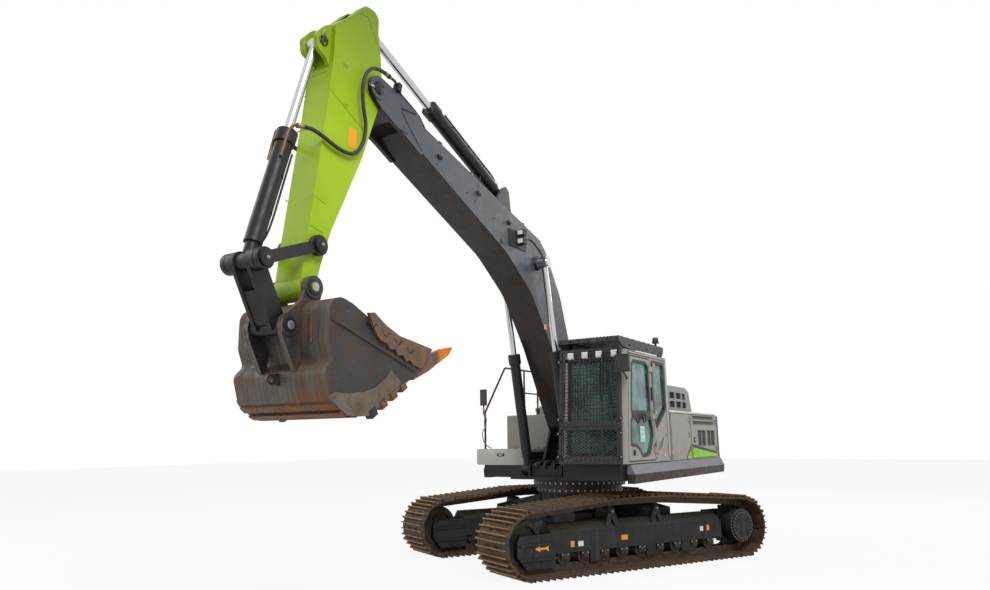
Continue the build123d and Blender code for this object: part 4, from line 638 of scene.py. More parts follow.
def bolt_circle(centre, radius, count, aim, start=0.0):
    """(place, aim) pairs round a circle that faces along aim."""
    turn = Vector(aim).to_track_quat("Z", "Y")
    return [(Vector(centre) + turn @ Vector((radius * math.cos(start + 2 * math.pi * i / count),
                                             radius * math.sin(start + 2 * math.pi * i / count), 0)),
             Vector(aim)) for i in range(count)]


# ---------------------------------------------------------------- undercarriage
TURN = Matrix.Rotation(math.radians(-27.19), 4, "Z")  # the tracks stand turned under the upper
TRACK_X = 1.295  # middle of a track, out from the machine's middle
CENTRE_Y, CENTRE_Z = 2.025, 0.465  # centres of the end wheels
PIN_R = 0.36  # line of the track's pins round those wheels
SHOE_HALF, SHOE_TOP = 0.392, 0.075  # half a shoe's width, and its outer face off the pins' line
GROUSER_FOOT, GROUSER_TOP = 0.088, 0.1045  # the worn tip of a grouser, off the pins' line
GROUSER_STEP = 0.0975  # between the three grousers of a shoe
GROUND_GAP = 0.0005  # the lowest tips stop this far above the ground
FRAME_FACE = TRACK_X + 0.17  # outer face of a track frame
LOWER_ROLLER_Z, UPPER_ROLLER_Z = 0.25, 0.812


def under(x, y, z):
    """A point of the undercarriage, from its own square frame."""
    return TURN @ Vector((x, y, z))


def aimed(x, y, z):
    """A direction in the undercarriage's own frame."""
    return TURN.to_3x3() @ Vector((x, y, z))


def half_circle(middle, start, steps=24):
    """The pins' line round an end wheel, from an angle on, as (y, z)."""
    angles = [start + math.pi * k / steps for k in range(1, steps + 1)]
    return [(middle + PIN_R * math.cos(a), CENTRE_Z + PIN_R * math.sin(a)) for a in angles]


def frame_plate(work, finish, out, low, high, thick, bevel=0.003):
    """A plate on a track frame's outer face, between two (y, z) corners."""
    corners = [(low[0], low[1]), (high[0], low[1]), (high[0], high[1]), (low[0], high[1])]
    work.prism(finish, [under(out, y, z) for y, z in corners], aimed(thick, 0, 0), bevel)


def shoe_places(count=48):
    """The middle of each shoe on the line of the track's pins, and the way it faces, as (y, z)."""
    corners = [(-CENTRE_Y, 0.105), (CENTRE_Y, 0.105), *half_circle(CENTRE_Y, -math.pi / 2),
               (0.36, 0.94), (-0.5, 0.94), (-CENTRE_Y, 0.825), *half_circle(-CENTRE_Y, math.pi / 2)]
    spans = [math.dist(a, b) for a, b in zip(corners, corners[1:])]
    total = sum(spans)
    places = []
    for shoe in range(count):
        left = (shoe + 0.5) / count * total % total
        for a, b, length in zip(corners, corners[1:], spans):
            if left <= length:
                share = left / length
                forward = ((b[0] - a[0]) / length, (b[1] - a[1]) / length)
                places.append(((a[0] + share * (b[0] - a[0]), a[1] + share * (b[1] - a[1])),
                               (forward[1], -forward[0])))
                break
            left -= length
    return places


class UndercarriageTrim(bpy.types.Operator):
    """Shoe bolts, drive caps, bearing bolts, roller caps and blank labels of the undercarriage"""
    bl_idname = "excavator.undercarriage"
    bl_label = "Undercarriage trim"

    def execute(self, context):
        size = context.scene.excavator_sizes
        for side, name in ((1, "left"), (-1, "right")):
            heads = []
            for (y, z), (out_y, out_z) in shoe_places():
                for across in (-0.135, -0.085, 0.085, 0.135):
                    for along in (-0.028, 0.028):
                        place = under(side * TRACK_X + across, y + SHOE_TOP * out_y - along * out_z,
                                      z + SHOE_TOP * out_z + along * out_y)
                        heads.append((place, aimed(0, out_y, out_z)))
            bolts(f"shoe_bolts_{name}", "undercarriage", heads, 0.02, 0.012, finish="roller_steel")
            work = Work()  # polished tips of the three grousers on each shoe
            for (y, z), (out_y, out_z) in shoe_places():
                for along in (-GROUSER_STEP, 0.0, GROUSER_STEP):
                    corners = []
                    for edge, rise in ((-0.0085, GROUSER_FOOT), (0.0085, GROUSER_FOOT),
                                       (0.007, GROUSER_TOP), (-0.007, GROUSER_TOP)):
                        step = along + edge
                        corners.append(under(side * TRACK_X - SHOE_HALF, y + rise * out_y - step * out_z,
                                             max(GROUND_GAP, z + rise * out_z + step * out_y)))
                    work.prism("grouser_steel", corners, aimed(2 * SHOE_HALF, 0, 0), 0)
            work.done(f"grouser_tips_{name}", "undercarriage")

            face = side * (TRACK_X + 0.312)
            centre = under(face, CENTRE_Y, CENTRE_Z)
            heads = bolt_circle(centre, 0.2, 22, aimed(side, 0, 0))
            heads += bolt_circle(under(face - side * 0.02, CENTRE_Y, CENTRE_Z), 0.238, 30,
                                 aimed(side, 0, 0), 0.1)
            bolts(f"drive_cap_bolts_{name}", "undercarriage", heads, size.bolt_width * 0.7, 0.01,
                  finish="recess_steel")
            work = Work()
            out = side * FRAME_FACE
            for y in [-1.37 + i * 0.35 for i in range(9)]:
                work.bar("roller_steel", under(out - side * 0.02, y, LOWER_ROLLER_Z),
                         under(out + side * 0.012, y, LOWER_ROLLER_Z), 0.042, 24, 0.006)
                for dy in (-0.048, 0.048):
                    work.bolt("pin_steel", under(out, y + dy, 0.278), aimed(side, 0, 0), 0.009)
            for y in (-0.5, 0.36):
                cap = under(side * (TRACK_X + 0.162), y, UPPER_ROLLER_Z)
                work.bar("roller_steel", under(side * (TRACK_X + 0.12), y, UPPER_ROLLER_Z), cap, 0.045, 24,
                         0.006)
                work.bolt("pin_steel", cap, aimed(side, 0, 0), 0.012)
            # drive cap: raised plugs and a grease point
            for angle in (0.6, 2.2, 4.4):
                centre = under(face, CENTRE_Y + 0.11 * math.cos(angle), CENTRE_Z + 0.11 * math.sin(angle))
                work.bar("track_frame_paint", centre, centre + aimed(side * 0.01, 0, 0), 0.02, 20, 0.002)
            # welded edge strips along the frame, and dark discs where it has holes: painted shade of the holes
            for z0, z1 in ((0.3, 0.318), (0.556, 0.57)):
                frame_plate(work, "track_frame_paint", out, (-1.5, z0), (1.62, z1), side * 0.006)
            for y, z in ((-0.42, 0.44), (-1.95, 0.36)):
                work.bar("rubber_and_painted_shade", under(out + side * (0.0 if y > -1 else 0.02), y, z),
                         under(out + side * (0.003 if y > -1 else 0.022), y, z), 0.03, 24)
            # blank labels and the arrow that shows which way is forwards
            for finish, y0, y1, z0, z1 in (("amber_label", -0.36, -0.24, 0.40, 0.47),
                                           ("amber_label", 1.37, 1.42, 0.42, 0.50),
                                           ("white_label", 1.22, 1.29, 0.42, 0.49),
                                           ("amber_label", -1.27, -1.21, 0.37, 0.45),
                                           ("white_label", -1.14, -1.05, 0.37, 0.44)):
                frame_plate(work, finish, out, (y0, z0), (y1, z1), side * 0.0015, 0)
            arrow = [(-1.88, 0.39), (-1.80, 0.43), (-1.80, 0.405), (-1.70, 0.405), (-1.67, 0.425),
                     (-1.65, 0.425), (-1.665, 0.39), (-1.65, 0.355), (-1.67, 0.355), (-1.70, 0.375),
                     (-1.80, 0.375), (-1.80, 0.35)]
            work.prism("amber_label", [under(out + side * 0.02, y, z) for y, z in arrow],
                       aimed(side * 0.002, 0, 0), 0)
            work.done(f"track_frame_trim_{name}", "undercarriage")
        # bolts round the two halves of the slewing bearing, each facing outwards
        for name, body, count, shift, radius, z in (("bearing_bolts", "undercarriage", 44, 0, 0.7, 1.05),
                                                    ("turntable_bolts", "upper", 48, 0.5, 0.755, 1.165)):
            heads = []
            for i in range(count):
                angle = 2 * math.pi * (i + shift) / count
                out = Vector((math.cos(angle), math.sin(angle), 0))
                heads.append((out * radius + Vector((0, 0, z)), out))
            bolts(name, body, heads, size.bolt_width, 0.012, finish="pin_steel")
        return {"FINISHED"}


# ---------------------------------------------------------------- body panels
LEFT = 1.54  # left face of the body


def side_outline(x, points):
    """(y, z) points on a face that looks along X."""
    return [Vector((x, y, z)) for y, z in points]


class BodyTrim(bpy.types.Operator):
    """Louvres, grilles, locks, stripes and caps on the body panels and the hood"""
    bl_idname = "excavator.body"
    bl_label = "Body trim"

    def execute(self, context):
        size = context.scene.excavator_sizes
        # left rear door: two long slots with webs, two louvred panels, a lock and the lime stripe
        x = LEFT
        work = Work()
        # dark sheets behind the slots and the louvred panels: painted shade of their openings
        for z in (2.175, 2.085):
            work.box("recess_painted_shade", (x - 0.034, 1.39, z), (x - 0.030, 2.59, z + 0.06), 0)
            work.ring("panel_paint", side_outline(x, [(1.39, z), (2.59, z), (2.59, z + 0.06), (1.39, z + 0.06)]),
                      0.0, 0.008, (0.004, 0, 0))
        for y in (1.64, 2.18):
            work.box("recess_painted_shade", (x - 0.036, y, 1.715), (x - 0.032, y + 0.44, 1.985), 0)
            work.ring("panel_paint", side_outline(x, [(y, 1.715), (y + 0.44, 1.715), (y + 0.44, 1.985), (y, 1.985)]),
                      0.0, 0.01, (0.006, 0, 0))
            work.box("panel_paint", (x - 0.012, y + 0.213, 1.715), (x + 0.001, y + 0.227, 1.985), 0)
        work.box("rubber_and_painted_shade", (x - 0.002, 1.40, 1.775), (x + 0.006, 1.50, 1.865), 0.004)
        work.box("pin_steel", (x + 0.004, 1.415, 1.80), (x + 0.012, 1.485, 1.84), 0.004)
        work.prism("rubber_and_painted_shade", side_outline(x + 0.0005, [(1.297, 1.525), (1.297, 1.752), (2.70, 1.60),
                                                              (2.70, 1.512), (1.30, 1.512)]), (0.001, 0, 0), 0)
        work.prism("lime_panel_paint", side_outline(x + 0.001, [(1.305, 1.522), (1.345, 1.690), (2.69, 1.562),
                                                               (2.69, 1.522)]), (0.002, 0, 0), 0)
        work.done("left_rear_door_trim", "left_rear_door")
        work = Work()
        work.prism("lime_panel_paint", side_outline(x + 0.0015, [(0.99, 1.512), (1.235, 1.70), (1.235, 1.512)]),
                   (0.002, 0, 0), 0)
        work.prism("rubber_and_painted_shade", side_outline(x + 0.0005, [(0.945, 1.508), (1.235, 1.748), (1.235, 1.508)]),
                   (0.001, 0, 0), 0)
        work.box("rubber_and_painted_shade", (x - 0.002, 1.13, 1.86), (x + 0.004, 1.19, 1.95), 0.004)
        work.done("left_front_door_trim", "left_front_door")

        webs = [(x - 0.015, 1.40 + 0.0375 * i, z) for z in (2.205, 2.115) for i in range(32)]
        grow("grille_webs", "left_rear_door", "slats", webs, Size=(0.006, 0.008, 0.062),
             Tilt=(0, 0, 0.5), Finish="panel_paint")
        slats = [(x - 0.014, y + 0.22, 1.73 + 0.0245 * i) for y in (1.64, 2.18) for i in range(11)]
        grow("louvre_slats", "left_rear_door", "slats", slats, Size=(0.024, 0.43, 0.004),
             Tilt=(0, 0.75, 0), Finish="louvre_paint")

        # hood windows: frames and dark wire screens; caps along the top
        work = Work()
        screens, edges = [], []
        for row, z in enumerate((2.40, 2.56)):
            for i in range(3):
                y = 1.53 + i * 0.34
                width = 0.27 if i < 2 else 0.23 - 0.06 * row
                outline = side_outline(1.1, [(y, z), (y + width, z), (y + width, z + 0.12), (y, z + 0.12)])
                work.ring("hood_paint", rounded(outline, 0.02, 3), -0.004, 0.012, (0.005, 0, 0))
                # a dark sheet behind each window: painted shade of the hood's inside
                work.box("rubber_and_painted_shade", (1.062, y - 0.01, z - 0.01), (1.066, y + width + 0.01, z + 0.13), 0)
                for k in range(int(width / 0.018)):
                    edges.append((len(screens), len(screens) + 1))
                    screens += [(1.085, y + 0.018 * (k + 0.5), z), (1.085, y + 0.018 * (k + 0.5), z + 0.12)]
                for k in range(6):
                    edges.append((len(screens), len(screens) + 1))
                    screens += [(1.087, y, z + 0.02 * (k + 0.5)), (1.087, y + width, z + 0.02 * (k + 0.5))]
        for y in (1.46, 1.9, 2.3):
            work.bar("hood_paint", (0.9, y, 2.788), (0.9, y, 2.812), 0.02, 20, 0.004)
        work.done("hood_trim", "engine_hood")
        grow("hood_screens", "engine_hood", "wires", screens, edges, Radius=0.0022, Finish="screen_black")

        work = Work()
        low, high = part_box("toolbox_lid")
        front = low[1] - 0.0005
        work.prism("roof_trim_paint", rounded([(low[0], front, 1.45), (high[0], front, 1.45),
                                               (high[0], front, high[2] - 0.006), (low[0], front, high[2] - 0.006)],
                                              0.04, 4), (0, -0.008, 0), 0.003)
        work.box("rubber_and_painted_shade", (-1.08, front - 0.014, 1.585), (-0.93, front - 0.007, 1.64), 0.004)
        work.box("pin_steel", (-1.04, front - 0.018, 1.60), (-0.97, front - 0.012, 1.622), 0.003)
        work.done("toolbox_lid_face", "toolbox_lid")

        # the upper structure's fixed pieces
        work = Work()
        work.bar("black_plastic", (-1.05, 1.02, 2.28), (-1.05, 1.02, 2.33), 0.075, 32, 0.008)
        work.bar("deck_paint", (-0.98, 0.45, 2.285), (-0.98, 0.45, 2.36), 0.06, 28, 0.006)
        work.bar("black_plastic", (-0.98, 0.45, 2.36), (-0.98, 0.45, 2.42), 0.075, 12, 0.01)
        for y in (0.29, 1.28):  # dark shut lines beside the doors
            work.box("rubber_and_painted_shade", (x - 0.003, y - 0.013, 1.50), (x + 0.0015, y - 0.009, 2.25), 0)
        work.box("amber_label", (x - 0.001, 0.27, 1.60), (x + 0.002, 0.279, 1.64), 0)
        work.done("body_trim", "upper")
        heads = [(Vector((LEFT, y, z)), (1, 0, 0)) for y, z in ((0.32, 1.56), (0.32, 2.2), (1.2, 1.56),
                                                              (1.2, 2.2))]
        bolts("left_front_door_bolts", "left_front_door", heads, size.bolt_width * 0.7, 0.006,
              finish="panel_paint")
        heads = [(Vector((px, y, 2.7901)), (0, 0, 1)) for px in (-0.85, -0.2, 0.4, 1.05)
                 for y in (1.45, 1.95, 2.38)]
        bolts("hood_bolts", "engine_hood", heads, size.bolt_width * 0.8, 0.008, finish="hood_paint")
        heads = [(Vector((px, y, 1.249)), (0, 0, -1)) for px in (-1.2, -0.6, 0.7, 1.2)
                 for y in (0.6, 1.4, 2.2)]
        bolts("deck_bolts", "upper", heads, size.bolt_width, 0.01, finish="deck_paint")
        return {"FINISHED"}


# ---------------------------------------------------------------- cab
DOOR_UPPER = [(-1.372, 2.215), (-0.602, 2.225), (-0.602, 2.600), (-0.624, 2.945), (-0.712, 2.995),
              (-1.220, 2.990), (-1.288, 2.935)]
DOOR_LOWER = [(-1.381, 2.158), (-0.590, 2.165), (-0.532, 1.990), (-0.528, 1.870), (-0.708, 1.606),
              (-1.011, 1.583), (-1.094, 1.686), (-1.246, 1.741), (-1.431, 1.749)]
QUARTER = [(-0.425, 2.105), (-0.371, 1.995), (0.105, 2.312), (0.062, 3.035), (-0.478, 3.035),
           (-0.470, 2.430)]
CAB_X = 1.536
GUARD_LEAN = math.tan(math.radians(4.4))
CAB_LEAN = math.tan(math.radians(5.5))
GUARD_X = (0.536, 1.521)


def guard_at(x, z, ahead=0.0):
    """A point on the front guard's screen plane."""
    return Vector((x, -1.723 + (z - 1.5) * GUARD_LEAN - ahead, z))


def screen_lines(x0, x1, z0, z1, pitch_x, pitch_z):
    """Crossed straight wires over a rectangle, as (x, z) pairs of ends."""
    lines = []
    count = round((x1 - x0) / pitch_x)
    for i in range(1, count):
        x = x0 + (x1 - x0) * i / count
        lines.append(((x, z0), (x, z1)))
    count = round((z1 - z0) / pitch_z)
    for i in range(1, count):
        z = z0 + (z1 - z0) * i / count
        lines.append(((x0, z), (x1, z)))
    return lines


def diamond_lines(x0, x1, z0, z1, pitch, slope):
    """Slanted wires both ways over a rectangle, cut off at its edges."""
    lines = []
    reach = (z1 - z0) / slope
    count = int((x1 - x0 + reach) / pitch) + 1
    for i in range(1, count):
        for lean in (1, -1):
            foot = x0 - reach + i * pitch if lean > 0 else x1 + reach - i * pitch
            (xa, za), (xb, zb) = sorted(((foot, z0), (foot + lean * reach, z1)))
            rate = (zb - za) / (xb - xa)
            if xa < x0:
                xa, za = x0, za + rate * (x0 - xa)
            if xb > x1:
                xb, zb = x1, zb - rate * (xb - x1)
            if xb - xa > 0.01:
                lines.append(((xa, za), (xb, zb)))
    return lines


class CabTrim(bpy.types.Operator):
    """Screens, lamps, window borders, handles, beacon and blank stickers of the cab"""
    bl_idname = "excavator.cab"
    bl_label = "Cab trim"

    def execute(self, context):
        size = context.scene.excavator_sizes
        # wire screen over the windscreen, expanded metal below it
        for name, lines, radius in (
                ("guard_screen", screen_lines(0.576, 1.481, 2.08, 3.12, size.screen_pitch,
                                              size.screen_pitch), 0.006),
                ("guard_expanded_metal", diamond_lines(0.576, 1.481, 1.54, 2.0, 0.07, 0.62), 0.0065)):
            places = [guard_at(*end) for line in lines for end in line]
            grow(name, "upper", "wires", places, [(2 * i, 2 * i + 1) for i in range(len(lines))],
                 Radius=radius, Finish="screen_black")
        work = Work()
        # inner rims of the two screens, hinge lugs and clips
        for z0, z1 in ((1.55, 1.995), (2.085, 3.11)):
            corners = [guard_at(x, z, 0.004) for x, z in ((0.585, z0), (1.472, z0), (1.472, z1), (0.585, z1))]
            work.ring("guard_paint", rounded(corners, 0.07, 5), -0.022, 0.0, (0, -0.006, 0))
        for x in GUARD_X:
            for z in (1.60, 1.93, 2.13, 2.98):
                work.box("guard_paint", guard_at(x - 0.018, z - 0.022, 0.034), guard_at(x + 0.018, z + 0.022, 0.016),
                         0.003)
                work.bolt("pin_steel", guard_at(x, z, 0.034), (0, -1, 0), 0.009)
        work.box("guard_paint", guard_at(0.60, 2.03, 0.03), guard_at(1.46, 2.045, 0.014), 0.004)
        # four white work lamps behind the top of the screen
        for x in (0.717, 0.947, 1.173, 1.413):
            work.box("black_plastic", guard_at(x - 0.058, 3.005, -0.03), guard_at(x + 0.058, 3.118, -0.004), 0.006)
            work.box("lamp_lens", guard_at(x - 0.052, 3.01, -0.004), guard_at(x + 0.052, 3.113, 0.012), 0.006)
            for dz in (3.035, 3.061, 3.087):
                work.box("lamp_lens", guard_at(x - 0.044, dz - 0.004, 0.010),
                         guard_at(x + 0.044, dz + 0.004, 0.017), 0.001)
            work.box("guard_paint", guard_at(x - 0.012, 2.99, -0.012), guard_at(x + 0.012, 3.035, -0.002), 0.002)
        work.tube("guard_paint", [guard_at(0.57, 3.012, -0.012), guard_at(1.487, 3.012, -0.012)], 0.009, 2)
        # wiper across the windscreen
        front = -1.66
        work.tube("black_plastic", [(1.36, front + 0.09, 2.12), (1.30, front + 0.11, 2.50),
                                    (1.22, front + 0.135, 2.86)], 0.008)
        work.box("rubber_and_painted_shade", (1.15, front + 0.095, 2.40), (1.165, front + 0.15, 2.92), 0.002)
        # windscreen and lower pane borders
        for low, high in ((2.08, 2.99), (1.62, 2.02)):
            corners = [Vector((x, -1.652 + (z - 1.5) * CAB_LEAN, z)) for x, z in
                       ((0.645, low), (1.435, low), (1.435, high), (0.645, high))]
            work.ring("rubber_and_painted_shade", rounded(corners, 0.06, 5), -0.028, 0.012, (0, -0.004, 0))
        work.done("guard_trim", "upper")

        work = Work()
        side = side_outline(CAB_X, QUARTER)
        work.ring("rubber_and_painted_shade", rounded(side, 0.05, 5), -0.04, 0.012, (0.003, 0, 0))
        # cab corner: joints, bolt covers, service slots and vents behind the door
        for y, z in ((-0.33, 1.98), (0.12, 2.06), (0.12, 1.60), (-0.42, 1.555), (0.16, 1.555), (0.05, 1.90)):
            work.bar("rubber_and_painted_shade", (CAB_X - 0.002, y, z), (CAB_X + 0.004, y, z), 0.012, 20, 0.002)
        # the vents: dark strips on the face, painted shade of their openings
        for i in range(4):
            y = -0.30 + 0.055 * i
            work.box("recess_painted_shade", (CAB_X - 0.001, y, 1.64 + 0.02 * i), (CAB_X + 0.003, y + 0.008, 1.80 + 0.03 * i),
                     0.001, Matrix.Rotation(math.radians(-32), 3, "X"))
        work.box("rubber_and_painted_shade", (CAB_X - 0.001, -0.40, 1.60), (CAB_X + 0.004, -0.385, 1.83), 0.001)
        work.box("amber_label", (CAB_X - 0.001, -0.07, 1.63), (CAB_X + 0.0025, -0.045, 1.67), 0)
        work.box("mint_label", (CAB_X - 0.001, -0.085, 1.575), (CAB_X + 0.0025, -0.03, 1.62), 0)
        # pale roof edge below the guard and the rail up the rear corner
        work.box("roof_trim_paint", (CAB_X - 0.03, -1.40, 3.075), (CAB_X + 0.008, 0.18, 3.118), 0.012)
        work.box("roof_trim_paint", (CAB_X - 0.02, 0.10, 1.56), (CAB_X + 0.004, 0.20, 3.07), 0.012)
        # beacon on its post
        work.bar("black_plastic", (1.46, -0.02, 3.296), (1.46, -0.02, 3.36), 0.018, 20, 0.003)
        work.bar("black_plastic", (1.46, -0.02, 3.36), (1.46, -0.02, 3.385), 0.058, 32, 0.005)
        work.bar("black_plastic", (1.46, -0.02, 3.385), (1.46, -0.02, 3.455), 0.052, 32, 0.012, 0.045)
        # mirrors: faces and rims
        work.ring("black_plastic", rounded([(1.476, -1.736, 2.775), (1.686, -1.736, 2.775), (1.686, -1.736, 3.025),
                                            (1.476, -1.736, 3.025)], 0.05), -0.015, 0.0, (0, -0.004, 0))
        work.box("mirror_face", (1.496, -1.6898, 2.795), (1.666, -1.6888, 3.005), 0)
        work.box("mirror_face", (-1.497, -0.6648, 2.46), (-1.403, -0.6638, 2.705), 0)
        work.done("cab_trim", "upper")

        work = Work()
        for outline in (DOOR_UPPER, DOOR_LOWER):
            work.ring("rubber_and_painted_shade", rounded(side_outline(CAB_X, outline), 0.06, 5), -0.035, 0.010,
                      (0.003, 0, 0))
        door = [(-1.535, 1.53), (-0.47, 1.53), (-0.47, 1.99), (-0.545, 2.352), (-0.57, 3.05), (-1.392, 3.05)]
        work.ring("rubber_and_painted_shade", rounded(side_outline(CAB_X, door), 0.04, 4), -0.010, -0.001, (0.0015, 0, 0))
        # mid rail with its grab handle and the round handle in its recess
        work.box("rubber_and_painted_shade", (CAB_X - 0.006, -1.36, 2.158), (CAB_X + 0.002, -0.61, 2.222), 0.002)
        grip = [(CAB_X + 0.002, -1.02, 2.20), (CAB_X + 0.035, -1.02, 2.20), (CAB_X + 0.035, -0.98, 2.08),
                (CAB_X + 0.035, -0.90, 2.08), (CAB_X + 0.035, -0.86, 2.20), (CAB_X + 0.002, -0.86, 2.20)]
        work.tube("black_plastic", grip, 0.011, 3)
        work.bar("roof_trim_paint", (CAB_X - 0.004, -1.31, 1.65), (CAB_X + 0.003, -1.31, 1.65), 0.062, 40, 0.003)
        work.bar("rubber_and_painted_shade", (CAB_X - 0.001, -1.31, 1.65), (CAB_X + 0.006, -1.31, 1.65), 0.046, 40, 0.003)
        work.box("black_plastic", (CAB_X + 0.004, -1.335, 1.61), (CAB_X + 0.02, -1.315, 1.69), 0.004)
        # blank stickers on the lower pane
        work.box("mint_label", (CAB_X - 0.018, -1.02, 1.80), (CAB_X - 0.015, -0.83, 2.03), 0)
        for z in (1.86, 1.93, 1.99):
            work.box("white_label", (CAB_X - 0.0155, -0.99, z), (CAB_X - 0.0135, -0.86, z + 0.028), 0)
        work.box("rubber_and_painted_shade", (CAB_X - 0.003, -0.54, 2.42), (CAB_X + 0.02, -0.51, 2.62), 0.004)
        work.done("cab_door_trim", "cab_door")

        # roof guard: bolts along the brow and the side plates, ribs on top
        heads = [(Vector((0.56 + 0.055 * i, -1.62, 3.2975)), (0, 0, 1)) for i in range(18)]
        heads += [(Vector((px, -1.52 + 0.22 * i, 3.2975)), (0, 0, 1)) for px in (0.58, 1.50) for i in range(8)]
        bolts("roof_guard_bolts", "upper", heads, size.bolt_width * 1.2, 0.016, finish="roof_guard_paint")
        heads = [(Vector((1.534, y, 3.2)), (1, 0, 0)) for y in (-1.3, -0.62, -0.02)]
        heads += [(Vector((0.6 + 0.15 * i, -1.7, 3.265)), (0, -1, 0)) for i in range(7)]
        bolts("roof_guard_side_bolts", "upper", heads, size.bolt_width, 0.012, finish="rubber_and_painted_shade")
        ribs = [(1.0405, -1.49 + 0.205 * i, 3.301) for i in range(8)]
        grow("roof_ribs", "upper", "slats", ribs, Size=(0.75, 0.03, 0.012), Tilt=(0, 0, 0),
             Finish="roof_guard_paint")
        return {"FINISHED"}


def cushion(bm, low, high, crown, turn=None, anchor=None, rows=14):
    """A crowned pad between two corners: its broad faces swell and its edges pull in."""
    low, high = Vector(low), Vector(high)
    middle, half = (low + high) / 2, (high - low) / 2
    pad = bmesh.new()
    bmesh.ops.create_cube(pad, size=2)
    bmesh.ops.subdivide_edges(pad, edges=pad.edges[:], cuts=rows, use_grid_fill=True)
    thin = min(range(3), key=lambda i: half[i])
    for vert in pad.verts:
        unit = vert.co.copy()
        wide = [i for i in range(3) if i != thin]
        edge = max(abs(unit[wide[0]]), abs(unit[wide[1]]))
        swell = (1 - unit[wide[0]] ** 4) * (1 - unit[wide[1]] ** 4)
        channel = 0.0
        if crown > 0:  # sewn channels across the pad, and a bolster down each side
            channel = 0.25 * math.exp(-((abs(unit[0]) - 0.62) / 0.07) ** 2)
            channel += 0.16 * math.exp(-((abs(unit[wide[1]]) - 0.33) / 0.05) ** 2) * (abs(unit[0]) < 0.6)
        place = Vector(unit[i] * half[i] for i in range(3))
        place[thin] *= 0.62 + 0.38 * swell * (1 - channel)
        for i in wide:
            place[i] *= 1 - 0.05 * abs(unit[thin]) ** 3 - 0.02 * edge
        co = middle + place
        if turn:
            co = anchor + turn @ (co - anchor)
        vert.co = co
    mesh = bpy.data.meshes.new("pad")
    pad.to_mesh(mesh)
    pad.free()
    bm.from_mesh(mesh)
    bpy.data.meshes.remove(mesh)


class Seat(bpy.types.Operator):
    """Sprung operator's seat with sewn cushions, in place of its plain solid"""
    bl_idname = "excavator.seat"
    bl_label = "Operator's seat"

    def execute(self, context):
        x = 1.0405
        bm = bmesh.new()
        lean = Matrix.Rotation(math.radians(-10), 3, "X")
        cushion(bm, (x - 0.25, -0.76, 1.80), (x + 0.25, -0.20, 1.93), 1)
        anchor = Vector((x, -0.17, 2.24))
        cushion(bm, (x - 0.24, -0.225, 1.90), (x + 0.24, -0.115, 2.58), 1, lean, anchor)
        anchor = Vector((x, -0.105, 2.66))
        cushion(bm, (x - 0.14, -0.15, 2.58), (x + 0.14, -0.06, 2.74), 0, lean, anchor)
        bmesh.ops.recalc_face_normals(bm, faces=bm.faces)
        mesh = bpy.data.meshes.new("seat_cushions")
        bm.to_mesh(mesh)
        bm.free()
        mesh.materials.append(finishes["seat_cloth"])
        mesh.shade_smooth()
        piece = placed("seat_cushions", mesh, "upper")
        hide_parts("operator_seat")
        work = Work()
        work.box("console_plastic", (x - 0.18, -0.62, 1.5405), (x + 0.18, -0.26, 1.60), 0.01)
        for i in range(7):  # folds of the suspension bellows
            inset = 0.02 if i % 2 else 0.0
            work.box("rubber_and_painted_shade", (x - 0.17 + inset, -0.61 + inset, 1.60 + 0.024 * i),
                     (x + 0.17 - inset, -0.27 - inset, 1.624 + 0.024 * i), 0.006)
        work.box("console_plastic", (x - 0.2, -0.70, 1.768), (x + 0.2, -0.24, 1.80), 0.008)
        for side in (-1, 1):
            work.tube("pin_steel", [(x + side * 0.06, -0.135, 2.50), (x + side * 0.06, -0.112, 2.62)], 0.007, 2)
        work.done("seat_base", "upper")
        return {"FINISHED"}


# ---------------------------------------------------------------- boom, arm and their cylinders
def seam(work, finish, x, line, radius=0.006):
    """A weld bead along a face, through (reach, height) points."""
    work.tube(finish, [at(x, reach, z) for reach, z in line], radius, 2, 8)


def pin_cap(work, finish, x, reach, z, radius, side, tab=True):
    """The cap on a pin's end, with its keeper tab and bolts."""
    centre = at(x, reach, z)
    out = Vector((side, 0, 0))
    work.bar(finish, centre - out * 0.004, centre + out * 0.012, radius, 36, 0.004)
    work.bar(finish, centre, centre + out * 0.018, radius * 0.55, 28, 0.004)
    for k in range(3 if tab else 0):
        angle = 0.5 + 2.094 * k
        spot = centre + Vector((0, math.cos(angle), math.sin(angle))) * radius * 0.78
        work.bolt(finish, spot + out * 0.012, out, 0.011)


# piece, body, node, base pin, rod's eye, x, (bolts' ring, bolt), (pipe's places, x either side, radius), straps;
# pins are (reach, height), pipes (distance along the barrel, height off its middle)
BARREL_PIPE_BOOM = [(d, 0.096) for d in (0.25, 0.42, 0.8, 1.2)]
BARREL_PIPE_ARM = [(0.24, 0.085), (0.32, 0.115), (0.6, 0.109), (1.2, 0.109), (1.62, 0.109)]
BARREL_PIPE_BUCKET = [(0.26, 0.07), (0.34, 0.108), (0.9, 0.102), (1.30, 0.102)]
BARRELS = [
    ("boom_barrel_trim_left", "boom_barrel_left", "boom_cylinder_barrel_left", (1.038, 1.391), (1.730, 4.525),
     0.373, (0.078, 0.009), (BARREL_PIPE_BOOM, (0.393,), 0.011), None),
    ("boom_barrel_trim_right", "boom_barrel_right", "boom_cylinder_barrel_right", (1.038, 1.391),
     (1.730, 4.525), -0.373, (0.078, 0.009), (BARREL_PIPE_BOOM, (-0.393,), 0.011), None),
    ("arm_barrel_trim", "arm_barrel", "arm_cylinder_barrel", (2.420, 5.470), (5.495, 6.803),
     0, (0.094, 0.010), (BARREL_PIPE_ARM, (-0.05, 0.05), 0.012), ((0.62, 1.05, 1.45), 0.1035)),
    ("bucket_barrel_trim", "bucket_barrel", "bucket_cylinder_barrel", (6.968, 3.543), (6.215, 6.170),
     0, (0.088, 0.010), (BARREL_PIPE_BUCKET, (-0.045, 0.045), 0.011), ((0.55, 0.98, 1.3), 0.0975)),
]


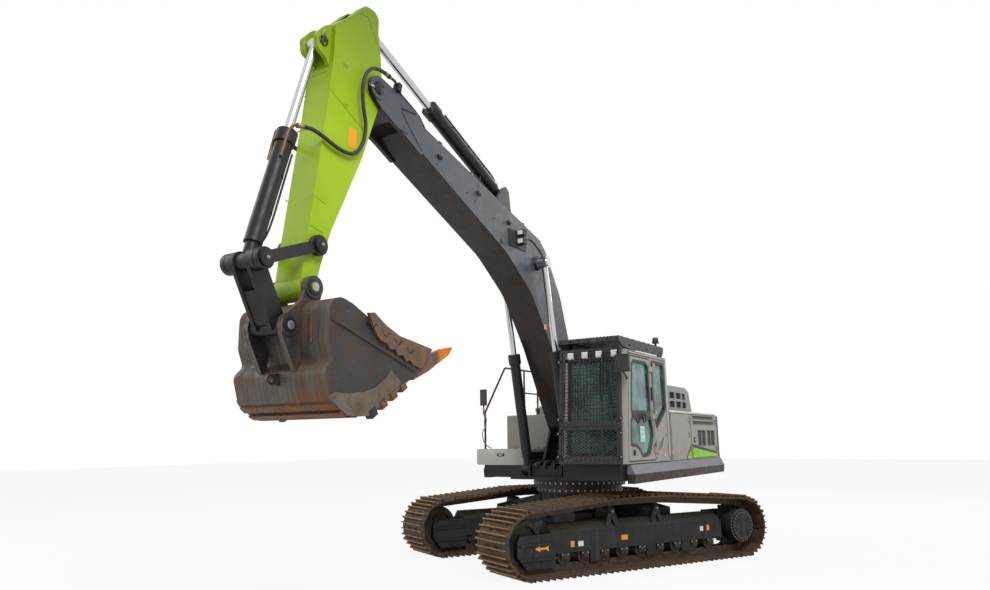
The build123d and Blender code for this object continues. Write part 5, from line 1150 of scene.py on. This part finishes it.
def barrel_trim(name, body, node, base, eye, x, gland, pipes, straps):
    """Gland bolts on a barrel's end face, hard pipes along it and the straps that hold them."""
    work = Work()
    base, eye = at(0, *base), at(0, *eye)
    along = (eye - base).normalized()
    off = Vector((0, along.z, -along.y))
    vertices = bpy.data.objects[node].data.vertices
    end = max((Vector((0, v.co.y, v.co.z)) - base).dot(along) for v in vertices)
    turn = along.to_track_quat("Z", "X")
    for k in range(8):
        angle = 2 * math.pi * (k + 0.5) / 8
        spot = turn @ Vector((math.cos(angle), math.sin(angle), 0)) * gland[0]
        work.bolt("cylinder_paint", Vector((x, 0, 0)) + (base + along * end) + spot, along, gland[1])
    places, across, radius = pipes
    for pipe_x in across:
        run = [base + Vector((pipe_x, 0, 0)) + along * d + off * h for d, h in places]
        work.tube("cylinder_paint", run, radius)
    for d in straps[0] if straps else ():
        ring = [base + along * d + Vector((straps[1] * math.cos(a), 0, 0)) + off * straps[1] * math.sin(a)
                for a in (0.2, 0.8, 1.57, 2.34, 2.94)]
        work.tube("deck_paint", ring, 0.006, 3, 6)
    work.done(name, body)


class BoomTrim(bpy.types.Operator):
    """Welds, pin caps, lamps, clamps and hoses of the boom and its cylinders"""
    bl_idname = "excavator.boom"
    bl_label = "Boom trim"

    def execute(self, context):
        size = context.scene.excavator_sizes
        work = Work()
        for side in (1, -1):
            x = side * 0.2505
            for line in ([(5.02, 5.78), (4.88, 5.64), (4.62, 5.40)], [(3.30, 5.46), (3.42, 5.05)],
                         [(1.15, 4.12), (1.62, 3.92)], [(0.52, 2.62), (0.98, 2.44)]):
                seam(work, "slate_paint", x, line, 0.005)
            # cap, keeper plate and its bolts at the arm's pin
            pin_cap(work, "cylinder_paint", side * 0.262, 5.44, 5.90, 0.085, side)
            work.box("pin_steel", (side * 0.262, -5.62, 5.86), (side * 0.270, -5.50, 5.895), 0.003)
            for dy in (-5.60, -5.52):
                work.bolt("cylinder_paint", (side * 0.270, dy, 5.878), (side, 0, 0), 0.009)
            work.tube("rubber_and_painted_shade", [at(x, 5.015, 5.810), at(x, 4.756, 5.840)], 0.012, 2)
            work.tube("rubber_and_painted_shade", [at(x, 5.390, 5.640), at(x, 5.30, 5.57), at(x, 5.12, 5.535),
                                        at(x, 4.905, 5.520)], 0.007)
        for reach, z in ((4.25, 5.44), (3.35, 5.20), (2.55, 4.98)):
            work.box("cylinder_paint", at(0.2495, reach + 0.035, z - 0.03), at(0.275, reach - 0.035, z + 0.03), 0.004)
            work.box("cylinder_paint", at(0.27, reach + 0.055, z - 0.012), at(0.282, reach - 0.055, z + 0.012), 0.003)
        # lamp pair: housings' lenses, brims and cable
        for low in (4.70, 4.83):
            work.box("lamp_lens", (0.268, -2.3425, low + 0.008), (0.362, -2.3395, low + 0.082), 0.001)
            work.ring("black_plastic", rounded([(0.262, -2.343, low + 0.003), (0.369, -2.343, low + 0.003),
                                                (0.369, -2.343, low + 0.087), (0.262, -2.343, low + 0.087)],
                                               0.015, 3), -0.008, 0.0, (0, -0.004, 0))
        work.tube("hose_rubber", [(0.31, -2.24, 4.74), (0.31, -2.15, 4.72), (0.28, -2.1, 4.76), (0.262, -2.05, 4.86),
                                  (0.255, -1.8, 4.86), (0.254, -1.4, 4.6)], 0.007)
        # grease lines and electric cable along the back
        for shift, radius in ((0.205, 0.009), (0.225, 0.007)):
            work.tube("hose_rubber", [at(shift, r, z + 0.018) for r, z in
                                      ((4.55, 5.722), (3.9, 5.545), (3.0, 5.300), (2.2, 5.08), (1.56, 4.90))],
                      radius, 3)
        for r, z in ((4.2, 5.625), (3.5, 5.434), (2.8, 5.244), (2.1, 5.052)):
            work.box("deck_paint", at(0.19, r + 0.02, z + 0.002), at(0.24, r - 0.02, z + 0.036), 0.004)
        # step plate, studs and a blank label on the boom's side
        work.box("deck_paint", at(0.2495, 2.80, 4.62), at(0.254, 2.72, 4.68), 0.002)
        for reach, z in ((4.30, 5.33), (3.62, 5.14), (2.95, 4.95)):
            work.bolt("slate_paint", (0.25, -reach, z), (1, 0, 0), 0.009)
        work.box("amber_label", at(0.2495, 1.55, 3.52), at(0.2515, 1.46, 3.60), 0)
        work.done("boom_trim", "boom")

        for row in BARRELS:
            barrel_trim(*row)
        heads = [(at(side * 0.2505, r, z), (side, 0, 0)) for side in (1, -1)
                 for r, z in ((0.36, 2.12), (0.20, 2.12), (0.36, 1.82))]
        bolts("boom_foot_bolts", "boom", heads, size.bolt_width, 0.012, finish="deck_paint")
        return {"FINISHED"}


class ArmTrim(bpy.types.Operator):
    """Welds, pin caps, brackets and a blank label of the arm, and the links' pin ends"""
    bl_idname = "excavator.arm"
    bl_label = "Arm trim"

    def execute(self, context):
        work = Work()
        for side in (1, -1):
            x = side * 0.1905
            for line in ([(6.035, 6.441), (5.706, 6.752), (5.578, 6.759), (5.486, 6.621), (5.393, 6.471)],
                         [(5.771, 5.836), (5.721, 5.961), (5.613, 6.060), (5.575, 6.085)],
                         [(5.771, 5.836), (5.777, 5.630), (5.766, 5.513)],
                         [(6.164, 5.618), (5.90, 5.474), (5.616, 5.331)],
                         [(6.37, 4.36), (6.16, 4.30)], [(6.36, 4.02), (6.19, 3.98)]):
                seam(work, "lime_paint", x, line, 0.0055)
            for reach, z in ((5.93, 5.99), (5.90, 5.52)):
                work.box("lime_paint", at(x, reach + 0.035, z - 0.025), at(x + side * 0.004, reach - 0.035, z + 0.025),
                         0.001)
                for dr in (-0.018, 0.018):
                    work.bolt("hose_rubber", at(x + side * 0.003, reach + dr, z), (side, 0, 0), 0.006)
            pin_cap(work, "cylinder_paint", side * 0.203, 6.283, 3.815, 0.075, side)
            # caps on the cylinders' ears, and the lifting loop beside one
            pin_cap(work, "cylinder_paint", side * 0.131, 5.495, 6.803, 0.06, side)
            pin_cap(work, "cylinder_paint", side * 0.131, 6.215, 6.170, 0.06, side)
            work.tube("pin_steel", [at(side * 0.133, 6.24, 6.23), at(side * 0.16, 6.25, 6.27),
                                    at(side * 0.16, 6.20, 6.29), at(side * 0.133, 6.17, 6.24)], 0.005)
        work.box("amber_label", at(0.1895, 5.85, 5.05), at(0.192, 5.72, 5.28), 0)
        # weld across the front plate, and the joint of the lower end's sleeve
        for r0, z0 in ((6.20, 5.80), (6.43, 5.05)):
            work.tube("lime_paint", [(-0.18, -r0, z0), (0.18, -r0, z0)], 0.006, 2, 8)
        work.done("arm_trim", "arm")
        work = Work()
        for side in (1, -1):
            for reach, z, radius, x in ((6.283, 3.815, 0.066, 0.284), (6.968, 3.543, 0.066, 0.284)):
                for r, lift in ((radius * 1.22, 0.004), (radius, 0.009), (radius * 0.55, 0.014)):
                    centre = at(side * x, reach, z)
                    work.bar("link_paint", centre - Vector((side * 0.004, 0, 0)),
                             centre + Vector((side * lift, 0, 0)), r, 36, 0.002)
                work.bolt("pin_steel", at(side * (x + 0.014), reach, z), (side, 0, 0), 0.014)
        work.done("idler_link_trim", "idler_links")
        work = Work()
        for side in (1, -1):
            centre = at(side * 0.29, 6.651, 2.942)
            work.bar("pin_steel", centre - Vector((side * 0.004, 0, 0)), centre + Vector((side * 0.008, 0, 0)),
                     0.043, 32, 0.004)
        work.done("h_link_trim", "bucket")
        return {"FINISHED"}


HOSE_ROUTE = [(0.285, 5.328, 6.103), (0.300, 5.519, 6.116), (0.300, 5.699, 5.991), (0.295, 5.760, 5.780),
              (0.275, 5.716, 5.543), (0.255, 5.635, 5.362), (0.240, 5.658, 5.131), (0.235, 5.797, 4.952),
              (0.235, 5.991, 4.934), (0.235, 6.168, 4.976), (0.225, 6.316, 5.026), (0.190, 6.435, 5.057),
              (0.150, 6.530, 5.050)]  # middle of each hose: from the boom's fitting to the barrel's


class Hoses(bpy.types.Operator):
    """The two hoses that cross from the boom's tip to the bucket cylinder"""
    bl_idname = "excavator.hoses"
    bl_label = "Hoses"

    def execute(self, context):
        radius = context.scene.excavator_sizes.hose_radius
        for side, name in ((1, "left"), (-1, "right")):
            route = [at(side * x, reach, z) for x, reach, z in HOSE_ROUTE]
            work = Work()
            work.tube("hose_rubber", route, radius, 3, 14)
            piece = work.done(f"tip_hose_{name}", None)
            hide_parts(f"hose_{name}")
            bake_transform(piece)
            work = Work()
            first, last = route[0], route[-1]
            aim = (route[1] - first).normalized()
            for back, ahead, wide, sides in ((-0.03, 0.05, radius * 1.18, 24), (-0.05, -0.03, radius * 1.35, 6),
                                             (-0.07, -0.05, radius, 20)):
                work.bar("brass_fitting", first + aim * back, first + aim * ahead, wide, sides, 0.002)
            work.done(f"hose_fitting_{name}", "boom")
            work = Work()
            aim = (last - route[-2]).normalized()
            for back, ahead, wide, sides in ((-0.05, 0.01, radius * 1.18, 24), (0.01, 0.03, radius * 1.35, 6)):
                work.bar("brass_fitting", last + aim * back, last + aim * ahead, wide, sides, 0.002)
            # hard elbow from the hose down along the barrel
            elbow = [last + aim * 0.03, last + aim * 0.07, at(side * 0.105, 6.62, 4.98), at(side * 0.10, 6.655, 4.86),
                     at(side * 0.095, 6.70, 4.68)]
            work.tube("copper_pipe", elbow, 0.015)
            work.done(f"hose_elbow_{name}", "bucket_barrel")
        return {"FINISHED"}


class BucketTrim(bpy.types.Operator):
    """Wear blocks, cutter sockets and bolts, heel strips, runners and pin ends of the bucket"""
    bl_idname = "excavator.bucket"
    bl_label = "Bucket trim"

    def execute(self, context):
        size = context.scene.excavator_sizes
        work = Work()
        for side in (1, -1):
            out = Vector((side, 0, 0))
            # round bosses and bright pin ends at the arm and at the link
            for (reach, z), radius in (((6.355, 3.364), 0.048), ((6.651, 2.942), 0.044)):
                centre = at(side * 0.281, reach, z)
                work.bar("link_paint", centre - out * 0.004, centre + out * 0.006, radius * 1.75, 36, 0.003)
                if reach < 6.5:
                    work.bar("pin_steel", at(side * 0.283, reach, z), at(side * 0.297, reach, z), radius, 32, 0.005)
            line, away = Vector((0.849, -0.529)), Vector((-0.529, -0.849))
            for along in (0.255, 0.435, 0.615, 0.790):
                corners = [Vector((5.163, 2.569)) + line * (along + a) + away * b for a, b in
                           ((0, -0.04), (0.10, -0.04), (0.10, 0.045), (0, 0.045))]
                work.prism("rust_steel", [at(side * 0.585, c.x, c.y) for c in corners], out * 0.085, 0.006)
            # dark sockets of the cutters along the side bar
            for r, z in ((5.93, 3.035), (5.73, 2.965), (5.53, 2.90), (5.33, 2.83)):
                hook = [at(side * 0.676, r + a, z + b) for a, b in
                        ((0.05, 0.0), (0.03, -0.055), (-0.02, -0.06), (-0.035, -0.02), (-0.075, -0.03))]
                work.tube("link_paint", hook, 0.011)
            # rust-edged weld of the side bar
            seam(work, "rust_steel", side * 0.651, [(6.40, 2.99), (5.9, 2.82), (5.24, 2.60)], 0.005)
        work.tube("link_rust_steel", [at(-0.2, 6.651, 2.942), at(0.2, 6.651, 2.942)], 0.0455, 2, 20)
        # wear strips across the heel
        for (r0, z0), (r1, z1), out in (((6.44, 2.20), (6.37, 2.15), (0, -0.006, -0.010)),
                                        ((6.33, 2.12), (6.25, 2.085), (0, -0.004, -0.012)),
                                        ((6.20, 2.085), (6.10, 2.085), (0, 0, -0.014))):
            shift = Vector((0, 0.02, 0.02))
            work.prism("rust_steel", [at(-0.648, r0, z0) + shift, at(-0.648, r1, z1) + shift,
                                      at(-0.648, r1, z1) + Vector(out), at(-0.648, r0, z0) + Vector(out)],
                       (1.296, 0, 0), 0.003)
        # vertical runners on the back
        for x in (-0.40, 0.0, 0.40):
            work.prism("scraped_steel", [at(x - 0.03, r, z) for r, z in ((6.5055, 3.05), (6.5055, 2.78))] +
                       [at(x + 0.03, r, z) for r, z in ((6.5055, 2.78), (6.5055, 3.05))], (0, -0.004, 0), 0.001)
        work.done("bucket_trim", "bucket")
        heads = []
        for side in (1, -1):
            for r, z in ((5.80, 2.97), (5.60, 2.90), (5.40, 2.83), (5.22, 2.77)):
                heads.append((at(side * 0.665, r, z), (side, 0, 0)))
        bolts("side_cutter_bolts", "bucket", heads, size.bolt_width * 1.4, 0.014, finish="rust_steel")
        return {"FINISHED"}


class RailTrim(bpy.types.Operator):
    """Rail wraps, the loose cable and the hose bundle at the boom's foot"""
    bl_idname = "excavator.rails"
    bl_label = "Rails and hoses"

    def execute(self, context):
        work = Work()
        # rubber wraps round the handrail
        for y, z in ((-0.64, 1.62), (-0.64, 2.10)):
            work.bar("rubber_and_painted_shade", (-1.45, y, z), (-1.45, y, z + 0.10), 0.021, 20, 0.002)
        for y in (0.25, 0.60, 1.05):
            work.bar("rubber_and_painted_shade", (-1.45, y, 3.15), (-1.45, y + 0.06, 3.15), 0.021, 20, 0.002)
        # loose cable of the right camera
        work.tube("cable_sheath", [(-1.44, -0.68, 2.47), (-1.42, -0.74, 2.36), (-1.38, -0.70, 2.22),
                                   (-1.43, -0.66, 2.08), (-1.47, -0.72, 1.98), (-1.43, -0.74, 1.86),
                                   (-1.42, -0.66, 1.76), (-1.36, -0.60, 1.72)], 0.008)
        work.done("rail_trim", "upper")
        # looped hoses between the boom cylinders, below the boom's foot
        work = Work()
        for i in range(10):
            x = -0.225 + 0.05 * i
            lean = 0.05 * math.sin(2.3 * i)
            bow, top = 0.03 * (i % 3), 1.49 + 0.02 * (i % 2)
            start = Vector((x, -0.86 - bow, 1.30))
            work.tube("hose_rubber", [start, (x, -1.0 - bow, 1.36), (x + lean, -1.14 - bow, 1.46),
                                      (x + lean, -1.06, top), (x * 0.8, -0.86, top), (x * 0.7, -0.66, 1.5),
                                      (x * 0.7, -0.56, 1.36)], 0.02)
            aim = (Vector((x, -1.0 - bow, 1.36)) - start).normalized()
            work.bar("brass_fitting", start, start + aim * 0.09, 0.025, 20, 0.003)
            work.bar("pin_steel", start + aim * 0.09, start + aim * 0.11, 0.027, 6, 0.002)
        work.done("boom_foot_hoses", "upper")
        return {"FINISHED"}


# ---------------------------------------------------------------- finishes and stage
class Finishes(bpy.types.Operator):
    """Makes every finish and puts it on the solids of the machine"""
    bl_idname = "excavator.finishes"
    bl_label = "Finishes"

    def execute(self, context):
        colours = context.scene.excavator_colours
        make_finishes(colours)
        left = set(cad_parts)
        for finish, nodes in NODE_FINISH.items():
            for name in nodes:
                node = bpy.data.objects[name]
                for slot in node.material_slots:
                    slot.material = finishes[finish]
                if not node.material_slots:
                    raise RuntimeError(f"{name} has no material slot")
                left.discard(name)
        if left:
            raise RuntimeError(f"no finish for {sorted(left)}")
        return {"FINISHED"}


CAMERA_PLACE = (5.668, -11.489, 1.826)
CAMERA_AHEAD = (-0.5257, 0.8281, 0.1947)
CAMERA_ROLL = -0.692  # degrees


def seen_rays(tree):
    """1 for a ray that is seen, straight on or in glass or a mirror; 0 for one that only lights."""
    path = add_node(tree, "ShaderNodeLightPath")
    seen = path.outputs["Is Camera Ray"]
    for name in ("Is Glossy Ray", "Is Transmission Ray"):
        seen = add_node(tree, "ShaderNodeMath", {0: seen, 1: path.outputs[name]},
                        operation="MAXIMUM").outputs[0]
    return seen


class Stage(bpy.types.Operator):
    """Pale floor and backdrop, soft studio light and the camera"""
    bl_idname = "excavator.stage"
    bl_label = "Stage"

    def execute(self, context):
        stage = context.scene.excavator_stage
        scene = context.scene
        pale = bpy.data.materials.new("studio_floor")
        pale.use_nodes = True
        tree = pale.node_tree
        tree.nodes.clear()
        noise = add_node(tree, "ShaderNodeTexNoise", {"Scale": 3})
        bump = add_node(tree, "ShaderNodeBump", {"Strength": 0.02, "Height": noise.outputs["Fac"]})
        matt = add_node(tree, "ShaderNodeBsdfPrincipled", {"Base Color": "#e6e6e4", "Roughness": 0.9,
                                                           "Normal": bump.outputs[0]})
        glow = add_node(tree, "ShaderNodeEmission", {"Color": (1, 1, 1, 1)})
        share = add_node(tree, "ShaderNodeMath", {0: seen_rays(tree), 1: stage.floor_white},
                         operation="MULTIPLY")
        blend = add_node(tree, "ShaderNodeMixShader", {0: share.outputs[0], 1: matt.outputs[0],
                                                       2: glow.outputs[0]})
        add_node(tree, "ShaderNodeOutputMaterial", {0: blend.outputs[0]})
        mesh = bpy.data.meshes.new("studio_floor")
        wide = 60.0
        mesh.from_pydata([(-wide, -wide, 0), (wide, -wide, 0), (wide, wide, 0), (-wide, wide, 0)], [],
                         [(0, 1, 2, 3)])
        mesh.materials.append(pale)
        floor = bpy.data.objects.new("studio_floor", mesh)
        scene.collection.objects.link(floor)
        floor.location.z = min(corner[2] for corner in CAD_BOX) - 0.001

        world = bpy.data.worlds.new("studio")
        scene.world = world
        world.use_nodes = True
        tree = world.node_tree
        tree.nodes.clear()
        light = add_node(tree, "ShaderNodeBackground", {"Color": (0.93, 0.96, 1.0, 1),
                                                        "Strength": stage.sky})
        white = add_node(tree, "ShaderNodeBackground", {"Color": (1, 1, 1, 1), "Strength": 1.0})
        blend = add_node(tree, "ShaderNodeMixShader", {0: seen_rays(tree), 1: light.outputs[0],
                                                       2: white.outputs[0]})
        add_node(tree, "ShaderNodeOutputWorld", {0: blend.outputs[0]})

        for name, place, size, power in (("key", (9, -10, 13), 7, stage.key),
                                         ("fill", (-12, -9, 8), 9, stage.fill),
                                         ("back", (3, 13, 11), 8, stage.back)):
            lamp = bpy.data.lights.new(name, "AREA")
            lamp.size = size
            lamp.energy = power
            holder = bpy.data.objects.new(name, lamp)
            holder.location = place
            holder.rotation_euler = (Vector((0, -2, 2.5)) - Vector(place)).to_track_quat("-Z", "Y").to_euler()
            scene.collection.objects.link(holder)

        camera = bpy.data.cameras.new("camera")
        camera.sensor_width = 36
        camera.lens = stage.lens
        camera.clip_end = 200
        ahead = Vector(CAMERA_AHEAD).normalized()
        across = ahead.cross(Vector((0, 0, 1))).normalized()
        up = across.cross(ahead)
        roll = math.radians(CAMERA_ROLL)
        side = across * math.cos(roll) + up * math.sin(roll)
        top = up * math.cos(roll) - across * math.sin(roll)
        holder = bpy.data.objects.new("camera", camera)
        rows = [(side[i], top[i], -ahead[i], CAMERA_PLACE[i]) for i in range(3)]
        holder.matrix_world = Matrix((*rows, (0, 0, 0, 1)))
        scene.collection.objects.link(holder)
        scene.camera = holder
        scene.view_settings.view_transform = "Standard"
        return {"FINISHED"}


# ---------------------------------------------------------------- add-on
def colour(name, description, code):
    return bpy.props.FloatVectorProperty(name=name, description=description, subtype="COLOR", size=4,
                                         min=0, max=1, default=linear(code))


class Colours(bpy.types.PropertyGroup):
    lime: colour("Arm", "Lime paint of the arm", "#9dbd00")
    slate: colour("Boom", "Slate grey paint of the boom's sides", "#454a50")
    panel: colour("Panels", "Warm grey paint of the body panels", "#9a958e")


def number(name, description, default, **limits):
    return bpy.props.FloatProperty(name=name, description=description, default=default, **limits)


class Sizes(bpy.types.PropertyGroup):
    bolt_width: number("Bolt width", "Width of an ordinary bolt's head", 0.024, min=0.01, max=0.05,
                       unit="LENGTH")
    screen_pitch: number("Screen pitch", "Spacing of the front screen's wires", 0.05, min=0.03, max=0.12,
                         unit="LENGTH")
    hose_radius: number("Hose radius", "Radius of the hoses at the boom's tip", 0.022, min=0.012, max=0.03,
                        unit="LENGTH")


class StageSettings(bpy.types.PropertyGroup):
    key: number("Key lamp", "Power of the lamp ahead and to the left", 1500, min=0, unit="POWER")
    fill: number("Fill lamp", "Power of the lamp to the right", 600, min=0, unit="POWER")
    back: number("Back lamp", "Power of the lamp behind", 900, min=0, unit="POWER")
    sky: number("Sky", "Strength of the light from all round", 0.42, min=0)
    floor_white: number("Floor white", "Share of the floor that is plain white", 0.9, min=0, max=1,
                        subtype="FACTOR")
    lens: number("Lens", "Focal length of the camera", 26.90, min=10, max=200, unit="CAMERA")


STEPS = (Finishes, UndercarriageTrim, BodyTrim, CabTrim, Seat, BoomTrim, ArmTrim, Hoses, BucketTrim,
         RailTrim, Stage)


class Panel(bpy.types.Panel):
    """Lists the steps and the sizes and colours they use"""
    bl_idname = "VIEW3D_PT_excavator"
    bl_label = "Excavator"
    bl_space_type = "VIEW_3D"
    bl_region_type = "UI"
    bl_category = "Excavator"

    def draw(self, context):
        for group in (context.scene.excavator_colours, context.scene.excavator_sizes,
                      context.scene.excavator_stage):
            for name in group.bl_rna.properties.keys():
                if name not in ("rna_type", "name"):
                    self.layout.prop(group, name)
        for step in STEPS:
            self.layout.operator(step.bl_idname)


CLASSES = (Colours, Sizes, StageSettings, *STEPS, Panel)
GROUPS = (("excavator_colours", Colours), ("excavator_sizes", Sizes), ("excavator_stage", StageSettings))


def register():
    for item in CLASSES:
        bpy.utils.register_class(item)
    for name, group in GROUPS:
        setattr(bpy.types.Scene, name, bpy.props.PointerProperty(type=group))


def unregister():
    for name, _ in GROUPS:
        delattr(bpy.types.Scene, name)
    for item in reversed(CLASSES):
        bpy.utils.unregister_class(item)


def main():
    register()
    for step in STEPS:
        area, name = step.bl_idname.split(".")
        getattr(getattr(bpy.ops, area), name)()


if __name__ == "__main__":
    main()
